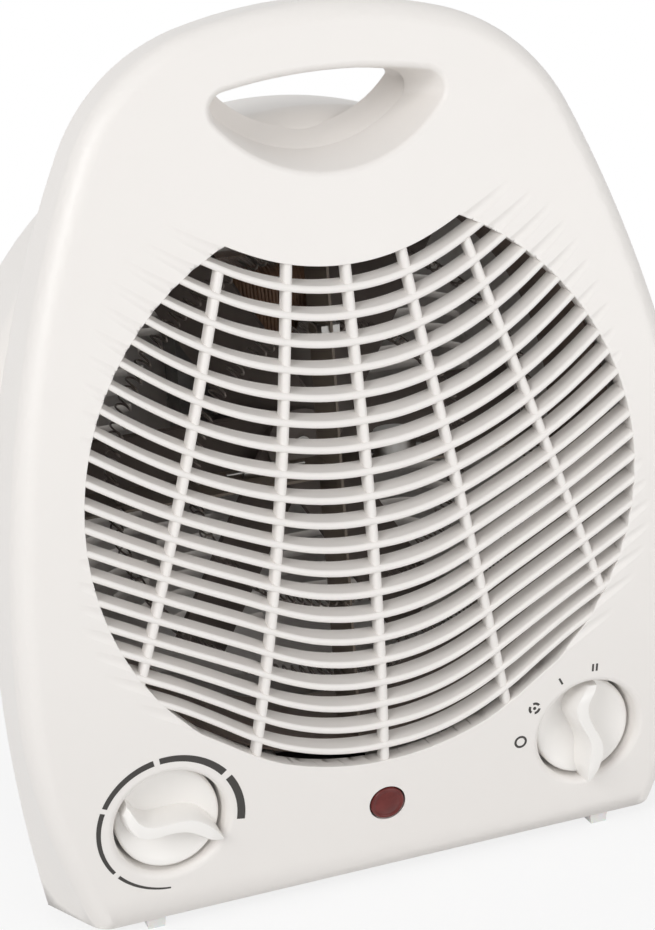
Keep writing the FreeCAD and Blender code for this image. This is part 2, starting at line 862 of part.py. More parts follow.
def make_nut(side):
    """Thin hexagon nut that clamps a control to the floor of its well."""
    across_corners = nut_across_flats / math.cos(math.radians(30))
    corners = []
    for step in range(7):
        turn = math.radians(60 * step)
        corners.append(Vec(across_corners / 2 * math.cos(turn), recess_depth - nut_thickness,
                           across_corners / 2 * math.sin(turn)))
    nut = Part.Face(Part.makePolygon(corners)).extrude(Vec(0, nut_thickness, 0))
    nut = nut.cut(rod(bush_radius + assembly_gap, 0, recess_depth + cut_past, 0, 0))
    return at_knob(nut, side)


def make_lamp_lens():
    """Domed lens cup with a flange that seats behind the panel."""
    flange_front = wall + assembly_gap * 2
    tube = rod(lamp_radius, 0, lamp_length, 0, 0)
    flange = rod(lamp_radius + lamp_flange, flange_front, flange_front + lamp_flange_thickness, 0, 0)
    dome_radius = (lamp_radius ** 2 + lamp_dome ** 2) / (2 * lamp_dome)
    dome = Part.makeSphere(dome_radius, Vec(0, dome_radius - lamp_dome, 0))
    dome = dome.common(rod(lamp_radius, -lamp_dome - cut_past, cut_past, 0, 0))
    lens = fuse([tube, flange, dome])
    lens = lens.cut(rod(lamp_bore, lamp_dome, lamp_length + cut_past, 0, 0))
    return at_lamp(lens)


def make_neon_lamp():
    """Small glow lamp that sits in the lens cup, with two lead wires."""
    radius = lamp_bore - neon_gap
    start = lamp_dome + radius + neon_gap
    bulb = rod(radius, start, start + neon_length - radius, 0, 0)
    nose = Part.makeSphere(radius, Vec(0, start, 0))
    leads = []
    for side in (-1, 1):
        root = start + neon_length - radius - neon_lead_sink
        end = start + neon_length + neon_lead_length
        leads.append(rod(neon_lead_radius, root, end, side * radius / 2, 0))
    return at_lamp(fuse([bulb, nose] + leads))


def make_heat_shield():
    """Rolled sheet ring round the element with ears screwed to the posts of the front shell."""
    outer = shield_radius + shield_sheet
    bore = rod(shield_radius, shield_front - cut_past, shield_back + cut_past)
    ring = rod(outer, shield_front, shield_back).cut(bore)
    ears = []
    reach = shield_post_radius + shield_ear_overhang
    for angle in shield_ear_angles:
        ear = block(shield_radius + shield_sheet / 2, reach,
                    shield_ear_depth, shield_ear_depth + shield_sheet,
                    -shield_ear_width / 2, shield_ear_width / 2)
        hole = rod(shield_screw_radius + screw_pilot_gap, 0, seam_depth, shield_post_radius, 0)
        ear = ear.cut(hole)
        ear.rotate(Vec(), OUTWARD, angle)
        ear.translate(air_axis_point)
        ears.append(ear)
    return fuse([ring] + ears)


def make_shield_screws():
    """Small pan-head screws through the ears of the heat shield."""
    screws = []
    seat = shield_ear_depth + shield_sheet
    for x, z in shield_posts():
        head = rod(shield_screw_head, seat, seat + shield_screw_radius, x, z)
        shank = rod(shield_screw_radius, shield_ear_depth - shield_screw_reach, seat + join_overlap, x, z)
        screws.append(fuse([head, shank]))
    return Part.makeCompound(screws)


def wire_apex(ring, waves):
    """Half distance between neighbouring runs of a zigzag wire, which is also its bend radius."""
    return ring * math.sin(math.pi / (2 * waves))


def make_mica_plate(angle, lap_at_front):
    """One of two interlocked mica sheets, notched where the wires pass and half lapped at the middle."""
    reach = shield_radius - mica_end_gap
    half = mica_sheet / 2
    plate = block(-reach, reach, mica_front, mica_back, -half, half)
    middle = (mica_front + mica_back) / 2
    lap = (mica_front - cut_past, middle) if lap_at_front else (middle, mica_back + cut_past)
    cuts = [block(-half - assembly_gap, half + assembly_gap, lap[0], lap[1], -1, 1)]
    for ring, waves in ((outer_wire_ring, outer_wire_waves), (inner_wire_ring, inner_wire_waves)):
        notch = wire_radius + wire_notch_gap
        depth = wire_run_front - wire_apex(ring, waves) + notch
        flat = ring * math.cos(math.pi / (2 * waves))
        for side in (-1, 1):
            cuts.append(block(side * flat - notch, side * flat + notch,
                              mica_front - cut_past, depth, -cut_past, cut_past))
    plate = plate.cut(cuts)
    plate.rotate(Vec(), OUTWARD, angle)
    plate.translate(air_axis_point)
    return plate


def make_heating_wire(ring, waves):
    """Zigzag resistance wire bent round a ring, left open at the top between its two leads."""
    runs = []
    for index in range(2 * waves):
        turn = math.radians(90 + (index + 0.5) * 180 / waves)
        runs.append(Vec(ring * math.cos(turn), 0, air_height + ring * math.sin(turn)))
    apex = wire_apex(ring, waves)
    edges = []
    path_points = []
    last = len(runs) - 1
    for index, place in enumerate(runs):
        front = Vec(place.x, wire_lead_front if index in (0, last) else wire_run_front, place.z)
        back = Vec(place.x, wire_run_back, place.z)
        start, end = (front, back) if index % 2 == 0 else (back, front)
        edges.append(Part.LineSegment(start, end).toShape())
        path_points.append((start + end) / 2)
        if index < last:
            following = Vec(runs[index + 1].x, end.y, runs[index + 1].z)
            bulge = apex if index % 2 == 0 else -apex
            edges.append(Part.Arc(end, (end + following) / 2 + Vec(0, bulge, 0), following).toShape())
    path = Part.Wire(edges)
    section = Part.Wire(Part.makeCircle(wire_radius, edges[0].Vertexes[0].Point, INWARD))
    wire = path.makePipeShell([section], True, False)
    gaps = [(b - a).Length for a, b in zip(path_points, path_points[1:])]
    print("zigzag ring", ring, "least gap between runs", round(min(gaps) - 2 * wire_radius, 2),
          "volume share", round(wire.Volume / (path.Length * math.pi * wire_radius ** 2), 4))
    return wire


def make_terminals():
    """Crimp blocks riveted to the upright mica sheet, one at each end of each wire."""
    tags = []
    half = mica_sheet / 2
    for ring, waves in ((outer_wire_ring, outer_wire_waves), (inner_wire_ring, inner_wire_waves)):
        flat = ring * math.cos(math.pi / (2 * waves))
        reach = wire_apex(ring, waves) - wire_radius - 2 * assembly_gap
        for side in (-1, 1):
            inner, outer = sorted((side * half, side * reach))
            tags.append(block(inner, outer, wire_lead_front, wire_lead_front + terminal_length,
                              air_height + flat - terminal_height / 2,
                              air_height + flat + terminal_height / 2))
    return Part.makeCompound(tags)


def make_thermal_cutout():
    """Round self-resetting cut-out standing on the level mica sheet, with its two tags."""
    middle = (mica_front + mica_back) / 2
    seat = air_height + mica_sheet / 2
    can = Part.makeCylinder(cutout_radius, cutout_height, Vec(cutout_offset, middle, seat), UPWARD)
    cap = Part.makeCylinder(cutout_radius * cutout_cap_share, cutout_cap_height,
                            Vec(cutout_offset, middle, seat + cutout_height), UPWARD)
    tags = []
    low = seat + cutout_tag_rise
    for side in (-1, 1):
        x = cutout_offset + side * cutout_radius
        tags.append(block(x - cutout_tag_length / 2, x + cutout_tag_length / 2,
                          middle - cutout_tag_width / 2, middle + cutout_tag_width / 2,
                          low, low + cutout_tag_sheet))
    return fuse([can, cap] + tags)


def make_thermal_fuse():
    """One-shot fuse lying on the level mica sheet with its leads."""
    middle = (mica_front + mica_back) / 2
    height = air_height + mica_sheet / 2 + fuse_radius + 2 * assembly_gap
    start = Vec(-fuse_offset - fuse_length / 2, middle, height)
    can = Part.makeCylinder(fuse_radius, fuse_length, start, ACROSS)
    lead = Part.makeCylinder(fuse_lead_radius, fuse_length + 2 * fuse_lead_length,
                             start - Vec(fuse_lead_length, 0, 0), ACROSS)
    return fuse([can, lead])


def core_back():
    """Depth of the back face of the motor's lamination stack."""
    return core_front + core_length


def motor_post_front():
    """Depth at which the posts of the rear shell meet the motor's rear bracket."""
    return core_back() + bracket_standoff + bracket_sheet


def make_motor_core():
    """Lamination stack with a rotor bore, a window for the winding and two bolt holes."""
    stack = block(-core_half_width, core_half_width, core_front, core_back(),
                  air_height - core_below, air_height + core_above)
    cuts = [
        rod(rotor_radius + rotor_air_gap, core_front - cut_past, core_back() + cut_past),
        block(-core_window_half, core_window_half, core_front - cut_past, core_back() + cut_past,
              air_height + core_window_low, air_height + core_window_high),
    ]
    for side in (-1, 1):
        cuts.append(rod(motor_bolt_radius + bolt_hole_gap, core_front - cut_past, core_back() + cut_past,
                        side * motor_bolt_spacing))
    return stack.cut(cuts)


def make_motor_winding():
    """Wound coil on the upper limb of the stack."""
    low = air_height + core_window_high
    high = air_height + core_above
    build = winding_build
    coil = block(-winding_half_width, winding_half_width, core_front - build, core_back() + build,
                 low - build, high + build)
    corners = [edge for edge in coil.Edges if edge.BoundBox.XLength > short_edge]
    coil = coil.makeFillet(build * winding_round_share, corners)
    gap = winding_fit
    return coil.cut(block(-core_half_width, core_half_width, core_front - gap, core_back() + gap,
                          low - gap, high + gap))


def make_bracket(plate_depth, pad_start, pad_end):
    """Pressed bearing bracket: a cross strip with two pads that stand on the stack."""
    strip = block(-bracket_half_width, bracket_half_width, plate_depth, plate_depth + bracket_sheet,
                  air_height - bracket_half_height, air_height + bracket_half_height)
    pads = []
    for side in (-1, 1):
        inner, outer = sorted((side * bracket_half_width, side * (bracket_half_width - bracket_pad)))
        pads.append(block(inner, outer, pad_start, pad_end,
                          air_height - bracket_half_height, air_height + bracket_half_height))
    bracket = fuse([strip] + pads)
    plate_end = plate_depth + bracket_sheet
    cuts = [rod(bearing_radius + assembly_gap, plate_depth - cut_past, plate_end + cut_past)]
    for side in (-1, 1):
        cuts.append(rod(motor_bolt_radius + bolt_hole_gap, pad_start - bracket_standoff,
                        pad_end + bracket_standoff, side * motor_bolt_spacing))
    return bracket.cut(cuts)


def front_bracket_depth():
    """Depth of the front bearing strip."""
    return core_front - bracket_standoff - bracket_sheet


def rear_bracket_depth():
    """Depth of the rear bearing strip."""
    return core_back() + bracket_standoff


def make_bearing(strip_depth):
    """Plain sintered bush pressed into a bracket."""
    middle = strip_depth + bracket_sheet / 2
    bush = rod(bearing_radius, middle - bearing_length / 2, middle + bearing_length / 2)
    return bush.cut(rod(shaft_radius + running_gap, middle - bearing_length, middle + bearing_length))


def make_motor_bolts():
    """Two long bolts through both brackets and the stack into the posts of the rear shell."""
    bolts = []
    seat = front_bracket_depth()
    for side in (-1, 1):
        x = side * motor_bolt_spacing
        shank = rod(motor_bolt_radius, seat - join_overlap, body_depth - wall, x)
        head = rod(motor_bolt_head, seat - motor_bolt_head_height, seat, x)
        bolts.append(fuse([head, shank]))
    return Part.makeCompound(bolts)


def make_fan():
    """Axial fan: a closed hub with pitched blades."""
    hub = rod(fan_hub_radius, fan_front, fan_front + fan_length)
    middle = fan_front + fan_length / 2
    blades = []
    for index in range(fan_blades):
        blade = block(fan_hub_radius / 2, fan_radius + blade_spare, -blade_chord / 2, blade_chord / 2,
                      -blade_sheet / 2, blade_sheet / 2)
        blade.rotate(Vec(), ACROSS, 90 - blade_pitch)
        blade.rotate(Vec(), INWARD, index * 360 / fan_blades)
        blade.translate(Vec(0, middle, air_height))
        blades.append(blade)
    sweep = rod(fan_radius, fan_front, fan_front + fan_length)
    fan = fuse([hub] + [blade.common(sweep) for blade in blades])
    bore = rod(shaft_radius + assembly_gap / 2, fan_front - cut_past, fan_front + fan_length + cut_past)
    return fan.cut(bore)


def make_motor_rotor():
    """Squirrel-cage rotor on the shaft."""
    start = core_front - rotor_overhang
    end = core_back() + rotor_overhang
    bore = rod(shaft_radius + assembly_gap / 2, start - cut_past, end + cut_past)
    return rod(rotor_radius, start, end).cut(bore)


def make_shell_screws():
    """Screws that draw the two shells together, sunk into the rear rim."""
    screws = []
    seat = rim_back - screw_head_sink
    for x, z in shell_screw_places():
        head = rod(screw_head_radius, seat, seat + screw_head_height, x, z)
        top = seat + screw_head_height
        head = head.cut(block(x - screw_head_radius, x + screw_head_radius,
                              top - screw_slot_depth, top + cut_past,
                              z - screw_slot_width / 2, z + screw_slot_width / 2))
        shank = rod(screw_radius, seam_depth - shell_screw_reach, seat + join_overlap, x, z)
        screws.append(fuse([head, shank]))
    return Part.makeCompound(screws)


def make_terminal_block():
    """Screw terminal block standing on the floor of the plinth."""
    front = block_back - block_depth
    base = block(-block_width / 2, block_width / 2, front, block_back, wall, wall + block_height)
    cuts = []
    for way in range(block_ways):
        x = (way - (block_ways - 1) / 2) * block_width / block_ways
        top = wall + block_height
        cuts.append(Part.makeCylinder(block_groove, block_height / 2,
                                      Vec(x, block_back - block_depth / 2, top - block_hole_rise), UPWARD))
        cuts.append(rod(block_groove * block_wire_share, front - cut_past, block_back + cut_past,
                        x, wall + block_hole_rise))
    return base.cut(cuts)


def make_cord_inlet():
    """Flanged bush in the back of the plinth where a mains lead would enter."""
    start = base_back - inlet_length + inlet_flange_thickness
    end = base_back + inlet_flange_thickness
    bush = rod(inlet_radius, start, end, inlet_offset, inlet_height)
    flange = rod(inlet_radius + inlet_flange, base_back, end, inlet_offset, inlet_height)
    bore = rod(inlet_bore, start - cut_past, end + cut_past, inlet_offset, inlet_height)
    return fuse([bush, flange]).cut(bore)


def main():
    """Build and write every piece of the heater."""
    os.makedirs("parts", exist_ok=True)
    save("front_shell", make_front_shell())
    save("rear_shell", make_rear_shell())
    save("front_feet", make_feet(front_foot_depth))
    save("rear_feet", make_feet(rear_foot_depth))
    save("thermostat_knob", make_knob(-1, thermostat_pointer))
    save("selector_knob", make_knob(1, selector_pointer))
    save("thermostat_spindle", make_spindle(-1, control_body_length))
    save("selector_spindle", make_spindle(1, switch_body_length))
    save("thermostat_body", make_control(-1, control_body_width, control_body_height, control_body_length))
    save("selector_switch", make_control(1, switch_body_width, switch_body_height, switch_body_length))
    save("thermostat_nut", make_nut(-1))
    save("selector_nut", make_nut(1))
    save("lamp_lens", make_lamp_lens())
    save("neon_lamp", make_neon_lamp())
    save("heat_shield", make_heat_shield())
    save("shield_screws", make_shield_screws())
    save("mica_plate_level", make_mica_plate(0.0, False))
    save("mica_plate_upright", make_mica_plate(90.0, True))
    save("outer_heating_wire", make_heating_wire(outer_wire_ring, outer_wire_waves))
    save("inner_heating_wire", make_heating_wire(inner_wire_ring, inner_wire_waves))
    save("element_terminals", make_terminals())
    save("thermal_cutout", make_thermal_cutout())
    save("thermal_fuse", make_thermal_fuse())
    save("fan", make_fan())
    save("motor_shaft", rod(shaft_radius, shaft_front, rear_bracket_depth() + bracket_sheet + shaft_tail))
    save("motor_rotor", make_motor_rotor())
    save("motor_core", make_motor_core())
    save("motor_winding", make_motor_winding())
    front_pads = core_front - bracket_standoff
    rear_pads = core_back() + bracket_standoff
    save("front_bearing_bracket", make_bracket(front_bracket_depth(), front_pads, core_front))
    save("rear_bearing_bracket", make_bracket(rear_bracket_depth(), core_back(), rear_pads))
    save("front_bearing", make_bearing(front_bracket_depth()))
    save("rear_bearing", make_bearing(rear_bracket_depth()))
    save("motor_bolts", make_motor_bolts())
    save("shell_screws", make_shell_screws())
    save("terminal_block", make_terminal_block())
    save("cord_inlet", make_cord_inlet())
    print("pieces written", len(written))


main()
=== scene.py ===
"""Upright fan heater dressed for rendering: shells, grille, knobs, printed dials and inner parts."""
import json
import math

import bmesh
import bpy
from mathutils import Matrix, Vector


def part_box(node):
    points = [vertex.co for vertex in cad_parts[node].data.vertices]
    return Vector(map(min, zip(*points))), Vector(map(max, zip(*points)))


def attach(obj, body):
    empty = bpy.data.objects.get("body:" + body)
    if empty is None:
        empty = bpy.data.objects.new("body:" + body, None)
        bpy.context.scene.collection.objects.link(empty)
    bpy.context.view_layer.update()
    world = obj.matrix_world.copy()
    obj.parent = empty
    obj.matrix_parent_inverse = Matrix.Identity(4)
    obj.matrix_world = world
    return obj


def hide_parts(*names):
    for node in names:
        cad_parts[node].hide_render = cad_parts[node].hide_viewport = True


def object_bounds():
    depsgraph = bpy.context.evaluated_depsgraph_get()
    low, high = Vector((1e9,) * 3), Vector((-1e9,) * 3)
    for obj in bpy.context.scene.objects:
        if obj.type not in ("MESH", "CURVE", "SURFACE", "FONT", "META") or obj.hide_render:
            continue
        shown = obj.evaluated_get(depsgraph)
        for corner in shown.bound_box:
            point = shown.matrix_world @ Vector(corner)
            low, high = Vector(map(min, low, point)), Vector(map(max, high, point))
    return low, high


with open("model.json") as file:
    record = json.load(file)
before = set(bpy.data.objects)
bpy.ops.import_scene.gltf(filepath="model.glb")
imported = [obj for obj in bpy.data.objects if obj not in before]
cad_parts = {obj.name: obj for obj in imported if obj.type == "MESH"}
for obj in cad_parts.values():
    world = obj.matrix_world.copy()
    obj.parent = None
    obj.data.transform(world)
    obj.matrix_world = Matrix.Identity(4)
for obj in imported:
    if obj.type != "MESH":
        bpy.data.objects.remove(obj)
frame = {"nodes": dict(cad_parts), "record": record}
cad_low, cad_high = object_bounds()
nodes = frame["nodes"]

bl_info = {
    "name": "Fan heater",
    "version": (1, 0, 0),
    "blender": (4, 5, 0),
    "location": "View3D > Sidebar > Heater",
    "description": "Builds the visible pieces of an upright fan heater around its solid model",
    "category": "Object",
}

MM = 0.001
# Distances in metres under which points are joined, in pieces made here and in the solid model's own mesh
WELD = 1e-7
SOLID_WELD = 1e-6
# Foremost line of the face at the underside of the shells, where the drawing has its origin
ORIGIN = Vector((0.0, cad_low.y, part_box("front_shell")[0].z))
HOUSING = "housing"

# Bowed face, in millimetres
FACE_RADIUS = 451.0
FACE_BELLY = 92.0
FACE_STRAIGHT = 150.0
AIR_HEIGHT = 119.0
KNOB_SPACING = 65.9
KNOB_HEIGHT = 31.7


def at(x, y, z):
    """Point of the frame from a place in the drawing, in millimetres."""
    return ORIGIN + Vector((x, y, z)) * MM


def mix(a, b, share):
    """Value between two others."""
    return a + (b - a) * share


def table_value(rows, key):
    """Straight-line reading of a table of rising (key, value) rows."""
    for (k0, v0), (k1, v1) in zip(rows, rows[1:]):
        if key <= k1:
            return mix(v0, v1, max(0.0, (key - k0) / (k1 - k0)))
    return rows[-1][1]


def face_depth(z):
    """Depth of the bowed face behind its foremost line, at a height in millimetres."""
    lean = math.asin((min(z, FACE_STRAIGHT) - FACE_BELLY) / FACE_RADIUS)
    return FACE_RADIUS * (1 - math.cos(lean)) + math.tan(lean) * max(z - FACE_STRAIGHT, 0.0)


def on_face(x, z, inward=0.0):
    """Point at a distance behind the face."""
    return at(x, face_depth(z) + inward, z)


def turns(count):
    """Angles of a full turn in equal steps."""
    return [2 * math.pi * step / count for step in range(count)]


class Skin:
    """Collects points and faces of one piece."""

    def __init__(self):
        self.points = []
        self.faces = []

    def loft(self, rings, caps=True, closed=True):
        """Skin over rings of equal length."""
        start = len(self.points)
        count = len(rings[0])
        for ring in rings:
            self.points.extend(ring)
        for row in range(len(rings) - 1):
            for i in range(count if closed else count - 1):
                a = start + row * count + i
                b = start + row * count + (i + 1) % count
                self.faces.append((a, b, b + count, a + count))
        if caps:
            last = start + (len(rings) - 1) * count
            self.faces.append(tuple(range(start + count - 1, start - 1, -1)))
            self.faces.append(tuple(range(last, last + count)))

    def mesh(self, name):
        """Closed mesh with outward faces."""
        data = bpy.data.meshes.new(name)
        data.from_pydata([tuple(p) for p in self.points], [], self.faces)
        work = bmesh.new()
        work.from_mesh(data)
        bmesh.ops.remove_doubles(work, verts=work.verts, dist=WELD)
        bmesh.ops.recalc_face_normals(work, faces=work.faces)
        work.to_mesh(data)
        work.free()
        return data


def add_piece(name, data, finish, body, sharp=35.0, stands_for=()):
    """Puts a mesh or curve in the scene as a piece that rides on a body."""
    piece = bpy.data.objects.new(name, data)
    bpy.context.scene.collection.objects.link(piece)
    data.materials.clear()
    data.materials.append(FINISHES[finish])
    if isinstance(data, bpy.types.Mesh):
        data.shade_smooth()
        data.set_sharp_from_angle(angle=math.radians(sharp))
    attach(piece, body)
    if stands_for:
        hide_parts(*stands_for)
    return piece


# Finishes

# Materials made here, by the name of their finish
FINISHES = {}
# Size of the slow waves of tone and of the handling marks on mouldings
TONE_SCALE = 14.0
MARK_SCALE = 95.0
# Squeeze that draws out streaks along rolled metal
STREAK_SQUEEZE = (1.0, 0.05, 1.0)
# Relief of a surface, as its depth in metres and its strength
MOULD_RELIEF = (0.00002, 0.12)
METAL_RELIEF = (0.00003, 0.2)


def new_group(name, inputs, outputs):
    """Empty shader node group with named sockets."""
    group = bpy.data.node_groups.new(name, "ShaderNodeTree")
    for label, kind, default in inputs:
        made = group.interface.new_socket(name=label, in_out="INPUT", socket_type=kind)
        made.default_value = default
    for label, kind in outputs:
        group.interface.new_socket(name=label, in_out="OUTPUT", socket_type=kind)
    start = group.nodes.new("NodeGroupInput")
    end = group.nodes.new("NodeGroupOutput")
    return group, start, end


def preset(node, values):
    """Sets plain values of a node's sockets."""
    for label, value in values.items():
        node.inputs[label].default_value = value


def own_place(tree):
    """Coordinate on the piece itself."""
    return tree.nodes.new("ShaderNodeTexCoord").outputs["Object"]


def noise(tree, where, scale, detail=3.0, rough=0.55):
    """Noise node fed by a coordinate."""
    node = tree.nodes.new("ShaderNodeTexNoise")
    preset(node, {"Detail": detail, "Roughness": rough})
    tree.links.new(where, node.inputs["Vector"])
    if isinstance(scale, (int, float)):
        node.inputs["Scale"].default_value = scale
    else:
        tree.links.new(scale, node.inputs["Scale"])
    return node.outputs["Fac"]


def ranged(tree, value, low, high):
    """Value of 0 to 1 mapped to a range."""
    node = tree.nodes.new("ShaderNodeMapRange")
    tree.links.new(value, node.inputs["Value"])
    for label, given in (("To Min", low), ("To Max", high)):
        if isinstance(given, (int, float)):
            node.inputs[label].default_value = given
        else:
            tree.links.new(given, node.inputs[label])
    return node.outputs["Result"]


def blend_colours(tree, share, first, second):
    """Mix of two colours by a share."""
    node = tree.nodes.new("ShaderNodeMix")
    node.data_type = "RGBA"
    tree.links.new(share, node.inputs["Factor"])
    for index, given in ((6, first), (7, second)):
        if isinstance(given, tuple):
            node.inputs[index].default_value = given
        else:
            tree.links.new(given, node.inputs[index])
    return node.outputs[2]


def make_moulding_group():
    """Moulded surface: fine tool grain, slow waves of tone and faint handling marks."""
    group, start, end = new_group("moulded_surface", [
        ("Light", "NodeSocketColor", (0.85, 0.82, 0.79, 1)),
        ("Dark", "NodeSocketColor", (0.78, 0.74, 0.71, 1)),
        ("Grain Scale", "NodeSocketFloat", 2600.0),
        ("Smooth", "NodeSocketFloat", 0.34),
        ("Dull", "NodeSocketFloat", 0.46),
    ], [("Colour", "NodeSocketColor"), ("Roughness", "NodeSocketFloat"), ("Height", "NodeSocketFloat")])
    where = own_place(group)
    slow = noise(group, where, TONE_SCALE, 2.0)
    grain = noise(group, where, start.outputs["Grain Scale"], 2.0, 0.5)
    marks = noise(group, where, MARK_SCALE, 5.0, 0.65)
    tone = blend_colours(group, slow, start.outputs["Light"], start.outputs["Dark"])
    group.links.new(tone, end.inputs["Colour"])
    rough = ranged(group, marks, start.outputs["Smooth"], start.outputs["Dull"])
    group.links.new(rough, end.inputs["Roughness"])
    group.links.new(grain, end.inputs["Height"])
    return group


def make_metal_group():
    """Drawn or rolled metal: streaks along one axis, spots of tarnish and a matching unevenness."""
    group, start, end = new_group("rolled_metal", [
        ("Bright", "NodeSocketColor", (0.6, 0.59, 0.57, 1)),
        ("Tarnish", "NodeSocketColor", (0.3, 0.28, 0.26, 1)),
        ("Streak Scale", "NodeSocketFloat", 900.0),
        ("Spot Scale", "NodeSocketFloat", 60.0),
        ("Smooth", "NodeSocketFloat", 0.25),
        ("Dull", "NodeSocketFloat", 0.5),
    ], [("Colour", "NodeSocketColor"), ("Roughness", "NodeSocketFloat"), ("Height", "NodeSocketFloat")])
    where = own_place(group)
    squeeze = group.nodes.new("ShaderNodeMapping")
    squeeze.inputs["Scale"].default_value = STREAK_SQUEEZE
    group.links.new(where, squeeze.inputs["Vector"])
    streaks = noise(group, squeeze.outputs["Vector"], start.outputs["Streak Scale"], 2.0)
    spots = noise(group, where, start.outputs["Spot Scale"], 4.0, 0.6)
    tone = blend_colours(group, spots, start.outputs["Bright"], start.outputs["Tarnish"])
    group.links.new(tone, end.inputs["Colour"])
    rough = ranged(group, streaks, start.outputs["Smooth"], start.outputs["Dull"])
    group.links.new(rough, end.inputs["Roughness"])
    group.links.new(streaks, end.inputs["Height"])
    return group


def start_finish(name):
    """New material with its shader and node tree."""
    finish = bpy.data.materials.new(name)
    finish.use_nodes = True
    tree = finish.node_tree
    return finish, tree, tree.nodes["Principled BSDF"]


def wire_bump(tree, shader, height, distance, strength):
    """Small surface relief on a shader."""
    bump = tree.nodes.new("ShaderNodeBump")
    preset(bump, {"Strength": strength, "Distance": distance})
    tree.links.new(height, bump.inputs["Height"])
    tree.links.new(bump.outputs["Normal"], shader.inputs["Normal"])


def grouped_finish(name, group, colours, values, relief, sockets):
    """Material on one shared surface group, with its own colours, values and plain shader sockets."""
    finish, tree, shader = start_finish(name)
    surface = tree.nodes.new("ShaderNodeGroup")
    surface.node_tree = group
    for label, colour in colours.items():
        surface.inputs[label].default_value = (*colour, 1.0)
    preset(surface, values)
    tree.links.new(surface.outputs["Colour"], shader.inputs["Base Color"])
    tree.links.new(surface.outputs["Roughness"], shader.inputs["Roughness"])
    wire_bump(tree, shader, surface.outputs["Height"], relief[0], relief[1])
    preset(shader, sockets)
    return finish


def make_finishes(context):
    """Makes every material of the heater."""
    look = context.scene.heater_look
    moulding = make_moulding_group()
    metal = make_metal_group()
    white = tuple(look.shell_light)
    shade = tuple(look.shell_dark)

    def moulded(name, light, dark, smooth, dull, grain=2600.0, relief=MOULD_RELIEF, **sockets):
        FINISHES[name] = grouped_finish(
            name, moulding, {"Light": light, "Dark": dark},
            {"Grain Scale": grain, "Smooth": smooth, "Dull": dull}, relief, sockets)

    def metallic(name, bright, tarnish, smooth, dull, streak=900.0, spot=60.0, share=1.0):
        FINISHES[name] = grouped_finish(
            name, metal, {"Bright": bright, "Tarnish": tarnish},
            {"Streak Scale": streak, "Spot Scale": spot, "Smooth": smooth, "Dull": dull}, METAL_RELIEF,
            {"Metallic": share})

    moulded("shell_plastic", white, shade, 0.36, 0.46, **{"Specular IOR Level": 0.45})
    moulded("knob_plastic", tuple(look.knob_light), tuple(look.knob_dark), 0.28, 0.38, 3000.0,
            **{"Coat Weight": 0.15, "Coat Roughness": 0.2})
    moulded("foot_plastic", (0.86, 0.85, 0.83), (0.78, 0.77, 0.75), 0.3, 0.42,
            **{"Subsurface Weight": 0.25, "Subsurface Scale": 0.002})
    moulded("control_plastic", (0.05, 0.047, 0.045), (0.03, 0.028, 0.027), 0.4, 0.6, 900.0, (0.00004, 0.3))
    moulded("fan_plastic", (0.2, 0.168, 0.15), (0.155, 0.13, 0.116), 0.4, 0.55, 1400.0)
    moulded("mica", (0.25, 0.205, 0.165), (0.17, 0.138, 0.11), 0.4, 0.6, 700.0, (0.00006, 0.5))
    moulded("winding_tape", (0.3, 0.17, 0.1), (0.2, 0.115, 0.075), 0.35, 0.55, 1200.0, (0.00006, 0.4))
    moulded("inlet_plastic", white, shade, 0.4, 0.5)
    moulded("dial_ink", (0.05, 0.046, 0.042), (0.038, 0.034, 0.031), 0.5, 0.65, 1800.0)
    metallic("plated_steel", (0.62, 0.61, 0.59), (0.42, 0.41, 0.39), 0.25, 0.42)
    metallic("shield_steel", (0.31, 0.24, 0.205), (0.23, 0.178, 0.15), 0.42, 0.62, 500.0, 35.0, share=0.15)
    metallic("resistance_wire", (0.42, 0.37, 0.34), (0.2, 0.17, 0.15), 0.35, 0.6, 1500.0, 300.0, share=0.4)
    metallic("bearing_bronze", (0.6, 0.41, 0.2), (0.4, 0.26, 0.12), 0.35, 0.55, 700.0, 200.0)
    metallic("core_steel", (0.26, 0.25, 0.24), (0.14, 0.13, 0.125), 0.4, 0.6, 1600.0, 90.0)

    lens, tree, shader = start_finish("lamp_plastic")
    # The lens colour is blotched by noise into darker and lighter patches that stand for painted reflection
    # and shade; the same patches vary its roughness.
    painted_reflection_patches = noise(tree, own_place(tree), 330.0, 2.0)
    tree.links.new(blend_colours(tree, painted_reflection_patches, (0.19, 0.034, 0.03, 1), (0.09, 0.015, 0.013, 1)),
                   shader.inputs["Base Color"])
    tree.links.new(ranged(tree, painted_reflection_patches, 0.12, 0.22), shader.inputs["Roughness"])
    preset(shader, {"Specular IOR Level": 0.2, "Coat Weight": 0.15, "Coat Roughness": 0.06})
    FINISHES["lamp_plastic"] = lens

    glass, tree, shader = start_finish("lamp_glass")
    streaks = noise(tree, own_place(tree), 500.0, 2.0)
    tree.links.new(ranged(tree, streaks, 0.03, 0.1), shader.inputs["Roughness"])
    preset(shader, {"Base Color": (0.95, 0.9, 0.86, 1), "Transmission Weight": 0.9, "IOR": 1.5})
    FINISHES["lamp_glass"] = glass


# Settings


class HeaterLook(bpy.types.PropertyGroup):
    """Colours of the visible mouldings."""

    shell_light: bpy.props.FloatVectorProperty(
        name="Shell light", description="Lighter tone of the shells", subtype="COLOR", size=3,
        default=(0.88, 0.85, 0.82), min=0.0, max=1.0)
    shell_dark: bpy.props.FloatVectorProperty(
        name="Shell dark", description="Darker tone of the shells", subtype="COLOR", size=3,
        default=(0.86, 0.828, 0.798), min=0.0, max=1.0)
    knob_light: bpy.props.FloatVectorProperty(
        name="Knob light", description="Lighter tone of the knobs", subtype="COLOR", size=3,
        default=(0.925, 0.905, 0.878), min=0.0, max=1.0)
    knob_dark: bpy.props.FloatVectorProperty(
        name="Knob dark", description="Darker tone of the knobs", subtype="COLOR", size=3,
        default=(0.905, 0.882, 0.853), min=0.0, max=1.0)


